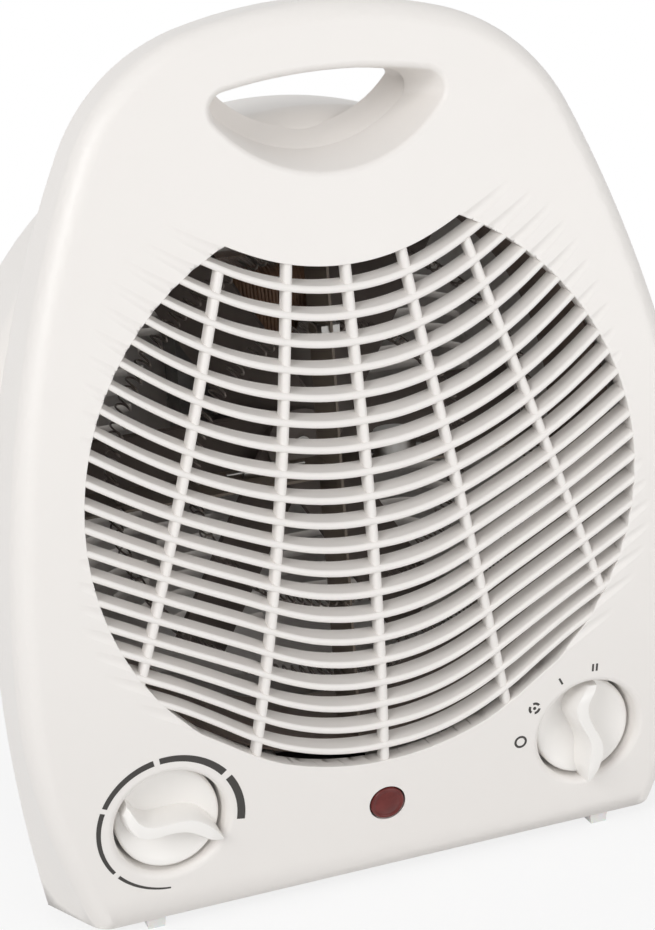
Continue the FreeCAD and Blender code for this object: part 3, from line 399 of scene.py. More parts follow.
class HeaterSizes(bpy.types.PropertyGroup):
    """Sizes of the pieces that are modelled here."""

    grille_radius: bpy.props.FloatProperty(
        name="Grille radius", description="Radius of the round air outlet", default=82.0 * MM,
        unit="LENGTH")
    slat_thickness: bpy.props.FloatProperty(
        name="Slat thickness", description="Height of a slat's nose", default=2.45 * MM, unit="LENGTH")
    slat_depth: bpy.props.FloatProperty(
        name="Slat depth", description="Depth of a slat behind the face", default=6.0 * MM, unit="LENGTH")
    strut_width: bpy.props.FloatProperty(
        name="Strut width", description="Width of the upright bars", default=2.65 * MM, unit="LENGTH")
    knob_radius: bpy.props.FloatProperty(
        name="Knob radius", description="Radius of the knob discs", default=15.4 * MM, unit="LENGTH")
    ink_thickness: bpy.props.FloatProperty(
        name="Ink thickness", description="Height of the printed marks over the face", default=0.06 * MM,
        unit="LENGTH")
    wire_radius: bpy.props.FloatProperty(
        name="Wire radius", description="Radius of the resistance wire", default=0.3 * MM, unit="LENGTH")


# Front moulding and grille

SLOT_COUNT = 21
SLOT_TOP = 65.3
SLOT_PITCH = 7.5
SLOT_PITCH_LOSS = 0.0165
# Rise of a slat over its middle at these distances from the middle, for slats at heights over the air axis
STATIONS = (0.0, 10.0, 20.0, 30.0, 40.0, 50.0, 60.0, 70.0, 85.0, 100.0)
RISES = (
    (-78.0, (0.0, 0.5, 2.45, 6.05, 11.4, 18.3, 24.9, 30.4, 38.5, 46.6)),
    (-58.0, (0.0, 0.55, 2.8, 6.9, 12.4, 17.7, 22.9, 28.1, 36.2, 44.3)),
    (-37.0, (0.0, 0.8, 3.2, 7.3, 12.3, 17.2, 22.2, 27.4, 35.5, 43.6)),
    (-15.0, (0.0, 0.45, 2.4, 5.9, 10.1, 14.6, 19.6, 25.3, 34.5, 43.7)),
    (7.0, (0.0, 0.45, 2.1, 4.75, 8.45, 13.2, 19.0, 25.9, 37.5, 49.0)),
    (29.0, (0.0, 0.45, 2.2, 5.0, 9.2, 14.8, 21.8, 29.7, 42.5, 55.5)),
    (66.0, (0.0, 0.75, 3.1, 7.2, 12.7, 19.2, 26.6, 35.0, 49.0, 63.0)),
)
LAST_STATION = STATIONS[-1] - 0.001
# Slat section: nose radius as a share of half the thickness, roundness of the nose, rise of the upper side
SLAT_NOSE = 0.88
SLAT_ROUND = 0.8
SLAT_RISE = 0.95
# Depth of the slats behind the face, reach of their ends into the rim, steps along them and round the nose
SLAT_SEAT = 0.03
SLAT_LAP = 1.2
SLAT_STEPS = 72
NOSE_STEPS = 12
# Middle lines of the struts as offset, lean and bow per 100 mm of height from a level of the face
STRUT_LINES = ((0.0, 0.0, 0.0), (27.25, -16.19, 2.1), (58.37, -32.22, 1.58))
STRUT_LEVEL = 115.0
STRUT_UNIT = 100.0
# Lowest place and steps up a strut, steps round its front, its setbacks at front and back, its lap
STRUT_LOW = 30.0
STRUT_STEP = 0.7
STRUT_STEPS = 240
STRUT_ROUND_STEPS = 10
STRUT_SETBACK = 0.55
STRUT_BACK = 1.2
STRUT_LAP = 1.5
# Offset past which a strut ends under the first slat
OUTER_STRUT = 50.0
# Outlet's lip as growth of its outline and depth behind the face, and its flat ring in front of the face
LIP = ((0.3, -0.02), (0.12, 0.08), (0.03, 0.22), (0.0, 0.45), (0.0, 12.0))
LIP_FRONT_GROWTH = 1.4
LIP_FRONT_DEPTH = -3.0
# Steps round the outlet and along its upper edge, halvings of a search, least cosine at a corner
ROUND_STEPS = 160
BROW_STEPS = 48
HALVINGS = 40
MITRE_LIMIT = 0.5
# Length by which a slot runs out into the face beside the outlet, by the height of the slot's end
RUN_OUT = ((40, 19), (55, 18), (65, 16.5), (74, 15), (81, 14), (90, 12), (98, 9.5), (105, 7), (112, 4.5),
           (120, 3), (140, 3), (150, 5), (160, 8), (170, 11), (178, 14), (186, 17), (205, 18))
RUN_OUT_LEAST = 3.5
# Run-out hollow: lap into the outlet, depth there, lift and share of the width at its end
RUN_OUT_LAP = 3.0
RUN_OUT_DEPTH = 1.0
RUN_OUT_LIFT = 0.14
RUN_OUT_TIP = 0.45
# Spare half width of its tool, shift out of the face and height over the face
RUN_OUT_SPARE = 0.1
RUN_OUT_SEAT = 0.02
RUN_OUT_COVER = 1.0
# Powers by which a run-out fades in depth and width along itself and is hollow across
RUN_OUT_FADE = 1.15
RUN_OUT_NARROWING = 0.7
RUN_OUT_HOLLOW = 1.3
RUN_OUT_STEPS = 16
RUN_OUT_SIDES = 10


def slot_top(row):
    """Height of a slot's upper edge in the middle of the outlet."""
    return AIR_HEIGHT + SLOT_TOP - row * SLOT_PITCH + row * row * SLOT_PITCH_LOSS


def slat_height(x, z0):
    """Height of a slat's line at a place across the outlet, when it has the height z0 in the middle."""
    over = z0 - AIR_HEIGHT
    rises = [table_value([(key, row[i]) for key, row in RISES], over) for i in range(len(STATIONS))]
    far = min(abs(x), LAST_STATION)
    i = max(k for k, station in enumerate(STATIONS) if station <= far)
    slopes = []
    for k in (i, i + 1):
        before, after = max(k - 1, 0), min(k + 1, len(STATIONS) - 1)
        rise = (rises[after] - rises[before]) / (STATIONS[after] - STATIONS[before])
        slopes.append(0.0 if k == 0 else rise)
    span = STATIONS[i + 1] - STATIONS[i]
    t = (far - STATIONS[i]) / span
    curve = (1 + 2 * t) * (1 - t) ** 2 * rises[i] + t * t * (3 - 2 * t) * rises[i + 1]
    curve += span * t * (1 - t) * ((1 - t) * slopes[0] - t * slopes[1])
    return z0 + curve


def slat_end(z0, radius):
    """X at which a slat's middle line leaves a circle about the air axis."""
    low, high = 0.0, radius
    for _ in range(HALVINGS):
        x = (low + high) / 2
        if math.hypot(x, slat_height(x, z0) - AIR_HEIGHT) < radius:
            low = x
        else:
            high = x
    return low


def mouth_outline(radius, top, low):
    """Outline of the outlet: a circle between the first slot's upper and the last slot's lower edge."""
    corner = slat_end(top, radius)
    start = math.atan2(slat_height(corner, top) - AIR_HEIGHT, corner)
    places = []
    for step in range(ROUND_STEPS + 1):
        turn = mix(start, -math.pi - start, step / ROUND_STEPS)
        x, z = radius * math.cos(turn), AIR_HEIGHT + radius * math.sin(turn)
        places.append((x, max(z, slat_height(x, low))))
    for step in range(1, BROW_STEPS):
        x = mix(-corner, corner, step / BROW_STEPS)
        places.append((x, slat_height(x, top)))
    return places


def grown(places, extra):
    """Closed outline moved outward by a distance, with its corners kept."""
    count = len(places)
    moved = []
    for i, (x, z) in enumerate(places):
        (x0, z0), (x1, z1) = places[i - 1], places[(i + 1) % count]
        ax, az, bx, bz = x - x0, z - z0, x1 - x, z1 - z
        la, lb = math.hypot(ax, az), math.hypot(bx, bz)
        nx, nz = -az / la - bz / lb, ax / la + bx / lb
        size = math.hypot(nx, nz)
        nx, nz = nx / size, nz / size
        reach = extra / max(MITRE_LIMIT, (-nx * az + nz * ax) / la)
        moved.append((x + nx * reach, z + nz * reach))
    return moved


def mouth_cutter(radius, top, low):
    """Closed tool that opens the outlet, with a softened lip that follows the bowed face."""
    skin = Skin()
    outline = mouth_outline(radius, top, low)
    rings = [[at(x, LIP_FRONT_DEPTH, z) for x, z in grown(outline, LIP_FRONT_GROWTH)]]
    for extra, inward in LIP:
        rings.append([on_face(x, z, inward) for x, z in grown(outline, extra)])
    skin.loft(rings)
    return skin.mesh("mouth_tool")


def run_out_ring(side, x, middle, half, share):
    """Section of a run-out hollow at a place across the face and a share of its length."""
    z = slat_height(x, middle)
    deep = RUN_OUT_DEPTH * (1 - share) ** RUN_OUT_FADE - RUN_OUT_LIFT * share
    wide = half * (RUN_OUT_TIP + (1 - RUN_OUT_TIP) * (1 - share) ** RUN_OUT_NARROWING)
    ring = []
    for k in range(RUN_OUT_SIDES + 1):
        v = 2 * k / RUN_OUT_SIDES - 1
        ring.append(on_face(side * x, z + v * wide, deep * (1 - v * v) ** RUN_OUT_HOLLOW - RUN_OUT_SEAT))
    ring.append(on_face(side * x, z + wide, -RUN_OUT_COVER))
    ring.append(on_face(side * x, z - wide, -RUN_OUT_COVER))
    return ring


def run_out_cutter(radius, thickness):
    """Shallow hollows that carry the ends of the slots out into the face."""
    skin = Skin()
    for row in range(SLOT_COUNT):
        top, low = slot_top(row), slot_top(row + 1) + thickness
        middle = (top + low) / 2
        half = (top - low) / 2 + RUN_OUT_SPARE
        end = slat_end(middle, radius)
        length = table_value(RUN_OUT, slat_height(end, middle))
        if length < RUN_OUT_LEAST:
            continue
        for side in (-1, 1):
            rings = []
            for step in range(RUN_OUT_STEPS + 1):
                share = step / RUN_OUT_STEPS
                x = end - RUN_OUT_LAP + share * (length + RUN_OUT_LAP)
                rings.append(run_out_ring(side, x, middle, half, share))
            skin.loft(rings)
    return skin.mesh("run_out_tool")


def cut_with(piece, tools):
    """Mesh of a piece after tools are cut from it, one by one."""
    for tool in tools:
        step = piece.modifiers.new("cut", "BOOLEAN")
        step.operation = "DIFFERENCE"
        step.solver = "EXACT"
        step.object = tool
    shown = piece.evaluated_get(bpy.context.evaluated_depsgraph_get())
    data = bpy.data.meshes.new_from_object(shown)
    for tool in tools:
        bpy.data.objects.remove(tool)
    return data


def slat_profile(half, depth):
    """Section of a slat as height and depth: a round nose, a rising upper side and a level underside."""
    nose = half * SLAT_NOSE
    profile = []
    for k in range(NOSE_STEPS + 1):
        turn = math.pi * (k / NOSE_STEPS - 0.5)
        profile.append((nose * math.sin(turn) - half + nose, nose * SLAT_ROUND * (1 - math.cos(turn))))
    crown = 2 * nose - half
    back = crown + SLAT_RISE
    return profile + [(crown + 0.12, 1.7), (back - 0.12, depth - 0.5), (back, depth - 0.25),
                      (back - 0.15, depth), (-half * 0.9, depth), (-half, 1.9)]


def strut_profile(wide, depth):
    """Section of a strut as offset and depth: a round front and a flat back."""
    bar = []
    for k in range(STRUT_ROUND_STEPS + 1):
        turn = math.pi * (k / STRUT_ROUND_STEPS - 0.5)
        bar.append((wide * math.sin(turn), STRUT_SETBACK + wide * (1 - math.cos(turn))))
    return bar + [(wide * 0.9, depth - STRUT_BACK), (-wide * 0.9, depth - STRUT_BACK)]


def strut_line(line, side, radius, half):
    """Every third place of a strut's middle line inside the outlet, from the bottom up, and the last."""
    offset, lean, bend = line
    places = []
    for step in range(STRUT_STEPS + 1):
        z = STRUT_LOW + step * STRUT_STEP
        u = (z - STRUT_LEVEL) / STRUT_UNIT
        x = side * (offset + lean * u + bend * u * u)
        under = offset < OUTER_STRUT or z < slat_height(x, slot_top(1) + half)
        if math.hypot(x, z - AIR_HEIGHT) < radius + STRUT_LAP and under:
            places.append((x, z))
    return places[::3] + places[-1:]


class HEATER_OT_finishes(bpy.types.Operator):
    """Make the materials and put them on the solid model's own pieces"""

    bl_idname = "heater.finishes"
    bl_label = "Finishes"

    def execute(self, context):
        make_finishes(context)
        for row in frame["record"]["subparts"]:
            piece = nodes[row["node"]]
            piece.data.materials.clear()
            piece.data.materials.append(FINISHES[row["material_slot"]])
        return {"FINISHED"}


class HEATER_OT_front_moulding(bpy.types.Operator):
    """Front shell with an open outlet whose slots run out into the face"""

    bl_idname = "heater.front_moulding"
    bl_label = "Front moulding"

    def execute(self, context):
        sizes = context.scene.heater_sizes
        radius = sizes.grille_radius / MM
        work = bmesh.new()
        work.from_mesh(nodes["front_shell"].data)
        bmesh.ops.remove_doubles(work, verts=work.verts, dist=SOLID_WELD)
        data = bpy.data.meshes.new("front_moulding_blank")
        work.to_mesh(data)
        work.free()
        blank = bpy.data.objects.new("front_moulding_blank", data)
        tools = []
        thickness = sizes.slat_thickness / MM
        low = slot_top(SLOT_COUNT) + thickness
        for tool in (mouth_cutter(radius, slot_top(0), low), run_out_cutter(radius, thickness)):
            tools.append(bpy.data.objects.new(tool.name, tool))
        for made in [blank] + tools:
            context.scene.collection.objects.link(made)
        shell = cut_with(blank, tools)
        bpy.data.objects.remove(blank)
        shell.name = "front_moulding"
        piece = add_piece("front_moulding", shell, "shell_plastic", HOUSING, sharp=32.0,
                          stands_for=("front_shell",))
        even = piece.modifiers.new("even_shading", "WEIGHTED_NORMAL")
        even.keep_sharp = True
        return {"FINISHED"}


class HEATER_OT_grille(bpy.types.Operator):
    """Smile-shaped slats with rounded noses and the upright bars behind them"""

    bl_idname = "heater.grille"
    bl_label = "Grille"

    def execute(self, context):
        sizes = context.scene.heater_sizes
        radius = sizes.grille_radius / MM
        half = sizes.slat_thickness / MM / 2
        depth = sizes.slat_depth / MM
        profile = slat_profile(half, depth)
        skin = Skin()
        for row in range(1, SLOT_COUNT):
            z0 = slot_top(row) + half
            reach = slat_end(z0, radius + SLAT_LAP)
            rings = []
            for step in range(SLAT_STEPS + 1):
                x = reach * (2 * step / SLAT_STEPS - 1)
                z = slat_height(x, z0)
                rings.append([on_face(x, z + dz, inward + SLAT_SEAT) for dz, inward in profile])
            skin.loft(rings)
        slats = skin.mesh("grille_slats")
        add_piece("grille_slats", slats, "shell_plastic", HOUSING, sharp=50.0)

        skin = Skin()
        bar = strut_profile(sizes.strut_width / MM / 2, depth)
        for line in STRUT_LINES:
            for side in ((1,) if line[0] == 0 else (-1, 1)):
                places = strut_line(line, side, radius, half)
                skin.loft([[on_face(x + dx, z, inward) for dx, inward in bar] for x, z in places])
        struts = skin.mesh("grille_struts")
        add_piece("grille_struts", struts, "shell_plastic", HOUSING, sharp=50.0)
        return {"FINISHED"}


# Knobs

# Knobs as piece, side of the middle, angle of the pointer, body and node of the solid model
KNOBS = (
    ("thermostat_grip", -1, 152.5, "thermostat_control", "thermostat_knob"),
    ("selector_grip", 1, 86.0, "selector_control", "selector_knob"),
)
# Depth of a knob's rim behind the face, and its edge as distance from the radius and depth behind the rim
KNOB_RIM = 4.5
KNOB_EDGE = ((1.4, 6.8), (0.05, 6.8), (0.02, 0.9), (0.15, 0.4), (0.5, 0.12), (1.0, 0.0))
KNOB_STEPS = 96
# Dish of the disc: depth in its middle, rings down to it, and the ring at which it would close
KNOB_DISH = 2.1
DISH_RINGS = 10
DISH_CLOSES = 10.6
# Middle line of the S-shaped grip across the knob, by distance along it from the pointer end to the tip
GRIP_SWAY = ((-15.0, 0.6), (-13, -1.4), (-10.5, -3.2), (-8, -3.8), (-5, -3.1), (-2, -1.4), (1, 0.4),
             (4, 1.6), (7, 1.8), (10, 1.3), (13, 0.6), (16.2, 0.0))
# Half width of the grip's flat top and of its foot
GRIP_TOP = ((-15.0, 1.3), (-13, 1.9), (-6, 1.9), (0, 1.8), (8, 2.0), (12, 1.8), (14.5, 1.0), (16.2, 0.25))
GRIP_FOOT = ((-15.0, 2.2), (-13, 3.2), (-6, 3.5), (0, 3.3), (8, 3.7), (12, 3.2), (14.5, 1.9), (16.2, 0.5))
# Height of the grip's top in front of the face
GRIP_RISE = ((-15.0, 0.6), (-13.6, 2.0), (-11, 2.7), (-4, 2.95), (6, 2.95), (12, 2.6), (14.5, 2.0),
             (16.2, 1.3))
GRIP_FOOT_DEPTH = 7.2
GRIP_STEPS = 72
# Flanks of the grip: steps, powers of lift and lean, shares of the top's width below and on the crest
FLANK_STEPS = 10
FLANK_LIFT = 1.2
FLANK_LEAN = 1.4
CREST_EDGE = 0.8
CREST_FLAT = 0.35
# Distance over which table readings are smoothed, and steps to either side
SMOOTH_REACH = 1.3
SMOOTH_STEPS = 4


def smooth_value(rows, key):
    """Table reading smoothed over neighbouring places."""
    total = 0.0
    weight = 0.0
    for step in range(-SMOOTH_STEPS, SMOOTH_STEPS + 1):
        w = 1.0 - abs(step) / (SMOOTH_STEPS + 1)
        near = key + SMOOTH_REACH * step / SMOOTH_STEPS
        total += w * table_value(rows, min(max(near, rows[0][0]), rows[-1][0]))
        weight += w
    return total / weight


def grip_ring(s):
    """Section of the grip at a distance along it, from one foot over the crest to the other."""
    sway, top, foot, rise = (smooth_value(rows, s) for rows in (GRIP_SWAY, GRIP_TOP, GRIP_FOOT, GRIP_RISE))
    ring = []
    for flank in (-1, 1):
        points = []
        for k in range(FLANK_STEPS + 1):
            share = k / FLANK_STEPS
            lift = math.sin(share * math.pi / 2) ** FLANK_LIFT
            across = mix(foot, top * CREST_EDGE, share ** FLANK_LEAN)
            if k == FLANK_STEPS:
                across = top * CREST_FLAT
            points.append((s, mix(GRIP_FOOT_DEPTH, -rise, lift), sway + flank * across))
        ring.extend(points if flank < 0 else reversed(points))
    return ring


def make_knob(name, side, pointer, body, node, radius):
    """Dished disc with a raised S-shaped grip whose tip reaches past the rim."""
    skin = Skin()
    profile = [(radius - inset, KNOB_RIM + depth) for inset, depth in KNOB_EDGE]
    dish = profile[-1][0]
    for k in range(1, DISH_RINGS + 1):
        r = dish * (1 - k / DISH_CLOSES)
        profile.append((r, KNOB_RIM + KNOB_DISH * (1 - (r / dish) ** 2)))
    skin.loft([[(r * math.cos(turn), inward, r * math.sin(turn)) for turn in turns(KNOB_STEPS)]
               for r, inward in profile])
    first, last = GRIP_SWAY[0][0], GRIP_SWAY[-1][0]
    skin.loft([grip_ring(mix(first, last, step / GRIP_STEPS)) for step in range(GRIP_STEPS + 1)])
    turn = math.radians(pointer - 180.0)
    centre_depth = face_depth(KNOB_HEIGHT)
    placed = []
    for x, y, z in skin.points:
        turned_x = x * math.cos(turn) - z * math.sin(turn)
        turned_z = x * math.sin(turn) + z * math.cos(turn)
        placed.append(at(side * KNOB_SPACING + turned_x, centre_depth + y, KNOB_HEIGHT + turned_z))
    skin.points = placed
    add_piece(name, skin.mesh(name), "knob_plastic", body, sharp=48.0, stands_for=(node,))


class HEATER_OT_knobs(bpy.types.Operator):
    """Thermostat and selector knobs on their own turning bodies"""

    bl_idname = "heater.knobs"
    bl_label = "Knobs"

    def execute(self, context):
        radius = context.scene.heater_sizes.knob_radius / MM
        for knob in KNOBS:
            make_knob(*knob, radius)
        return {"FINISHED"}


# Indicator lamp

LAMP_HEIGHT = 22.25
# Lens outline from the back of its cup by the flange to the beaded rim, as radius and height over the face
LAMP_OUTLINE = ((4.2, -8.6), (5.2, -8.6), (5.2, -4.0), (7.1, -4.0), (7.1, -3.0), (5.25, -3.0), (5.25, -0.6),
                (5.22, -0.15), (5.12, 0.16), (4.95, 0.36), (4.68, 0.46), (4.42, 0.42), (4.2, 0.28),
                (4.0, 0.2))
# Dome of the lens: height, rings up to its middle, and the ring at which it would close
LAMP_DOME = 0.65
DOME_RINGS = 8
DOME_CLOSES = 8.4
LAMP_STEPS = 64


class HEATER_OT_lamp(bpy.types.Operator):
    """Lens of the indicator lamp with a beaded rim round a low dome"""

    bl_idname = "heater.lamp"
    bl_label = "Lamp lens"

    def execute(self, context):
        lean = math.asin((LAMP_HEIGHT - FACE_BELLY) / FACE_RADIUS)
        outward = Vector((0.0, -math.cos(lean), math.sin(lean)))
        upward = Vector((0.0, math.sin(lean), math.cos(lean)))
        outline = list(LAMP_OUTLINE)
        rim, low = outline[-1]
        for k in range(1, DOME_RINGS + 1):
            r = rim * (1 - k / DOME_CLOSES)
            outline.append((r, low + LAMP_DOME * (1 - (r / rim) ** 2)))
        rings = []
        for r, height in outline:
            ring = []
            for turn in turns(LAMP_STEPS):
                across = Vector((r * math.cos(turn), 0.0, 0.0))
                place = across + upward * r * math.sin(turn) + outward * height
                ring.append(on_face(0.0, LAMP_HEIGHT) + place * MM)
            rings.append(ring)
        skin = Skin()
        skin.loft(rings)
        add_piece("lamp_cap", skin.mesh("lamp_cap"), "lamp_plastic", HOUSING,
                  sharp=40.0, stands_for=("lamp_lens",))
        return {"FINISHED"}


# Printed marks

# Depth to which printed marks reach into the face
INK_ROOT = 0.1
# Thermostat ring: radius, dashes from thin to thick by their end angles, least width, growth and its power
DIAL_RADIUS = 22.0
DIAL_DASHES = ((266.5, 220.5), (215.2, 157.4), (153.2, 100.6), (95.9, 38.8), (32.6, -9.5))
DIAL_THIN = 0.42
DIAL_GROWTH = 2.0
DIAL_POWER = 0.7
DIAL_FROM = 270.0
DIAL_SPAN = 280.0
DIAL_STEPS = 32
# Selector marks: radius of their ring; signs as angle, way out and arcs of radius, width, start, sweep and
# steps; bars as angle and offsets, their place inside the ring, half length and width
MARK_RING = 21.9
SIGNS = (
    (176.5, 1.0, ((1.7, 0.7, 0.0, 360.0, 40),)),
    (147.0, 0.0, ((1.6, 0.78, 30.0, 78.0, 28), (1.6, 0.78, 150.0, 78.0, 28), (1.6, 0.78, 270.0, 78.0, 28),
                  (0.28, 0.5, 0.0, 360.0, 16))),
)
BARS = ((117.0, (0.0,)), (86.0, (-0.65, 0.65)))
BAR_IN = 0.4
BAR_REACH = 1.2
BAR_WIDTH = 0.62
STROKE_STEPS = 4


def ink_strip(skin, places, thick):
    """Printed strip between pairs of (x, z) places on either side of its middle line."""
    rings = []
    for (x0, z0), (x1, z1) in places:
        rings.append([on_face(x0, z0, -thick), on_face(x1, z1, -thick),
                      on_face(x1, z1, INK_ROOT), on_face(x0, z0, INK_ROOT)])
    skin.loft(rings)


def polar(side, radius, angle):
    """Place on the face about a knob's axis."""
    turn = math.radians(angle)
    return side * KNOB_SPACING + radius * math.cos(turn), KNOB_HEIGHT + radius * math.sin(turn)


def stroke(skin, start, end, width, thick):
    """Straight printed stroke."""
    dx, dz = end[0] - start[0], end[1] - start[1]
    length = math.hypot(dx, dz)
    nx, nz = -dz / length * width / 2, dx / length * width / 2
    places = []
    for step in range(STROKE_STEPS + 1):
        share = step / STROKE_STEPS
        x, z = mix(start[0], end[0], share), mix(start[1], end[1], share)
        places.append(((x - nx, z - nz), (x + nx, z + nz)))
    ink_strip(skin, places, thick)


def bow(skin, centre, radius, start, end, width, thick, steps):
    """Printed arc about a centre."""
    places = []
    for step in range(steps + 1):
        turn = math.radians(mix(start, end, step / steps))
        inner, outer = radius - width / 2, radius + width / 2
        places.append(((centre[0] + inner * math.cos(turn), centre[1] + inner * math.sin(turn)),
                       (centre[0] + outer * math.cos(turn), centre[1] + outer * math.sin(turn))))
    ink_strip(skin, places, thick)


class HEATER_OT_dial_marks(bpy.types.Operator):
    """Growing ring of dashes at the thermostat and the four marks at the selector"""

    bl_idname = "heater.dial_marks"
    bl_label = "Dial marks"

    def execute(self, context):
        thick = context.scene.heater_sizes.ink_thickness / MM
        skin = Skin()
        for start, end in DIAL_DASHES:
            places = []
            for step in range(DIAL_STEPS + 1):
                angle = mix(start, end, step / DIAL_STEPS)
                width = DIAL_THIN + DIAL_GROWTH * ((DIAL_FROM - angle) / DIAL_SPAN) ** DIAL_POWER
                places.append((polar(-1, DIAL_RADIUS - width, angle), polar(-1, DIAL_RADIUS, angle)))
            ink_strip(skin, places, thick)
        add_piece("thermostat_marks", skin.mesh("thermostat_marks"), "dial_ink", HOUSING)
        skin = Skin()
        for angle, out, arcs in SIGNS:
            centre = polar(1, MARK_RING + out, angle)
            for radius, width, start, sweep, steps in arcs:
                bow(skin, centre, radius, start, start + sweep, width, thick, steps)
        for angle, offsets in BARS:
            turn = math.radians(angle)
            for offset in offsets:
                x, z = polar(1, MARK_RING - BAR_IN, angle)
                x, z = x - offset * math.sin(turn), z + offset * math.cos(turn)
                start = (x - BAR_REACH * math.cos(turn), z - BAR_REACH * math.sin(turn))
                end = (x + BAR_REACH * math.cos(turn), z + BAR_REACH * math.sin(turn))
                stroke(skin, start, end, BAR_WIDTH, thick)
        add_piece("selector_marks", skin.mesh("selector_marks"), "dial_ink", HOUSING)
        return {"FINISHED"}


# Heating element and motor winding

# Rings of heating wire as radius and number of waves
OUTER_WIRE = (66.0, 150)
INNER_WIRE = (42.0, 96)
# Depths of a wire's two ends, of its front bends and of its back bends
WIRE_END = 27.0
WIRE_FRONT = 31.2
WIRE_BACK = 42.6
# Lean of the waves out of and into the ring at the back, and the share of it at the front
WIRE_LEAN = 1.6
WIRE_FRONT_LEAN = 0.55
# Motor coil: gap to the limb, radius of a strand, pitch and sink in strand radii, uneven build and its rate
LIMB_GAP = 0.3 * MM
STRAND = 0.55 * MM
STRAND_PITCH = 2.1
STRAND_SINK = 1.6
SWELL = 0.35 * MM
SWELL_RATE = 1.9
STRAND_STEPS = 40
STRAND_SIDES = 6
# Powers that round the corners of the strands' path and of the core under them, the core's build and inset
STRAND_ROUND = 0.55
CORE_ROUND = 0.4
CORE_BUILD = 0.82
CORE_INSET = 0.4 * MM
CORE_STEPS = 64


def crimped_wire(name, ring, waves, radius, node):
    """Zigzag resistance wire round a ring, from lead to lead."""
    curve = bpy.data.curves.new(name, "CURVE")
    curve.dimensions = "3D"
    curve.bevel_depth = radius
    curve.bevel_resolution = 2
    curve.resolution_u = 4
    curve.use_fill_caps = True
    spline = curve.splines.new("NURBS")
    places = []
    count = 2 * waves
    for index in range(count):
        turn = math.radians(90 + (index + 0.5) * 180 / waves)
        odd = index % 2
        front, spread = WIRE_FRONT, WIRE_LEAN if odd else -WIRE_LEAN
        if index in (0, count - 1):
            front, spread = WIRE_END, 0.0
        run = ((front, WIRE_FRONT_LEAN), (WIRE_BACK, 1.0))
        for y, share in reversed(run) if odd else run:
            r = ring + spread * share
            places.append(at(r * math.cos(turn), y, AIR_HEIGHT + r * math.sin(turn)))
    spline.points.add(len(places) - 1)
    for point, place in zip(spline.points, places):
        point.co = (*place, 1.0)
    spline.use_endpoint_u = True
    spline.order_u = 3
    add_piece(name, curve, "resistance_wire", HOUSING, stands_for=(node,))


def boxed(angle, power):
    """Place on a unit box with rounded corners, by an angle."""
    c, s = math.cos(angle), math.sin(angle)
    return math.copysign(abs(c) ** power, c), math.copysign(abs(s) ** power, s)


def strand_ring(middle, across):
    """Section of a strand whose path lies in an upright plane."""
    ring = []
    for spin in turns(STRAND_SIDES):
        along = Vector((1, 0, 0)) * STRAND * math.cos(spin)
        ring.append(middle + along + across * STRAND * math.sin(spin))
    return ring


class HEATER_OT_element(bpy.types.Operator):
    """Crimped heating wires and the wound motor coil"""

    bl_idname = "heater.element"
    bl_label = "Element and coil"

    def execute(self, context):
        radius = context.scene.heater_sizes.wire_radius
        crimped_wire("outer_crimped_wire", *OUTER_WIRE, radius, "outer_heating_wire")
        crimped_wire("inner_crimped_wire", *INNER_WIRE, radius, "inner_heating_wire")
        low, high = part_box("motor_winding")
        core_low, core_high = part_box("motor_core")
        middle_y = (low.y + high.y) / 2
        middle_z = (low.z + high.z) / 2
        limb_y = (core_high.y - core_low.y) / 2 + LIMB_GAP
        build = (high.y - low.y) / 2 - limb_y
        limb_z = (high.z - low.z) / 2 - build
        skin = Skin()
        for turn in range(int((high.x - low.x) / (STRAND_PITCH * STRAND))):
            x = low.x + STRAND + turn * STRAND_PITCH * STRAND
            outer = build - STRAND * STRAND_SINK + min(0.0, SWELL * math.sin(turn * SWELL_RATE))
            rings = []
            for angle in turns(STRAND_STEPS) + [2 * math.pi]:
                c, s = boxed(angle, STRAND_ROUND)
                y, z = middle_y + c * (limb_y + outer), middle_z + s * (limb_z + outer)
                across = Vector((0, y - middle_y, z - middle_z)).normalized()
                rings.append(strand_ring(Vector((x, y, z)), across))
            skin.loft(rings, caps=False)
        deep = build * CORE_BUILD
        rings = []
        for x in (low.x + CORE_INSET, high.x - CORE_INSET):
            ring = []
            for angle in turns(CORE_STEPS):
                c, s = boxed(angle, CORE_ROUND)
                ring.append(Vector((x, middle_y + c * (limb_y + deep), middle_z + s * (limb_z + deep))))
            rings.append(ring)
        skin.loft(rings)
        add_piece("motor_coil", skin.mesh("motor_coil"), "winding_tape", HOUSING,
                  sharp=60.0, stands_for=("motor_winding",))
        return {"FINISHED"}


# Stage

# Half the width of the floor, in metres
FLOOR_REACH = 4.0
# Distances in metres from the floor's middle over which its share of white grows, and the least share
FLOOR_NEAR = 0.1
FLOOR_FAR = 0.42
FLOOR_SHARE = 0.8
WORLD_STRENGTH = 0.42
WHITE = (1.0, 1.0, 1.0, 1.0)
# Soft lamps as name, place, size and power, aimed at the object's middle
LAMPS = (
    ("key_lamp", (-1.05, -0.8, 0.9), 0.7, 9.5),
    ("fill_lamp", (0.6, -1.1, 0.2), 0.8, 4.9),
    ("top_lamp", (-0.1, -0.1, 1.4), 0.8, 1.2),
)
LAMP_TARGET = (0.0, 0.0, 0.13)
# Camera: focal length and sensor, azimuth, elevation and roll in degrees, point it looks at and distance
LENS = 78.79
SENSOR = 36.0
CAMERA_TURN = (-18.34, 17.33, -4.15)
CAMERA_TARGET = (-12.85, 0.0, 131.06)
CAMERA_DISTANCE = 562.01


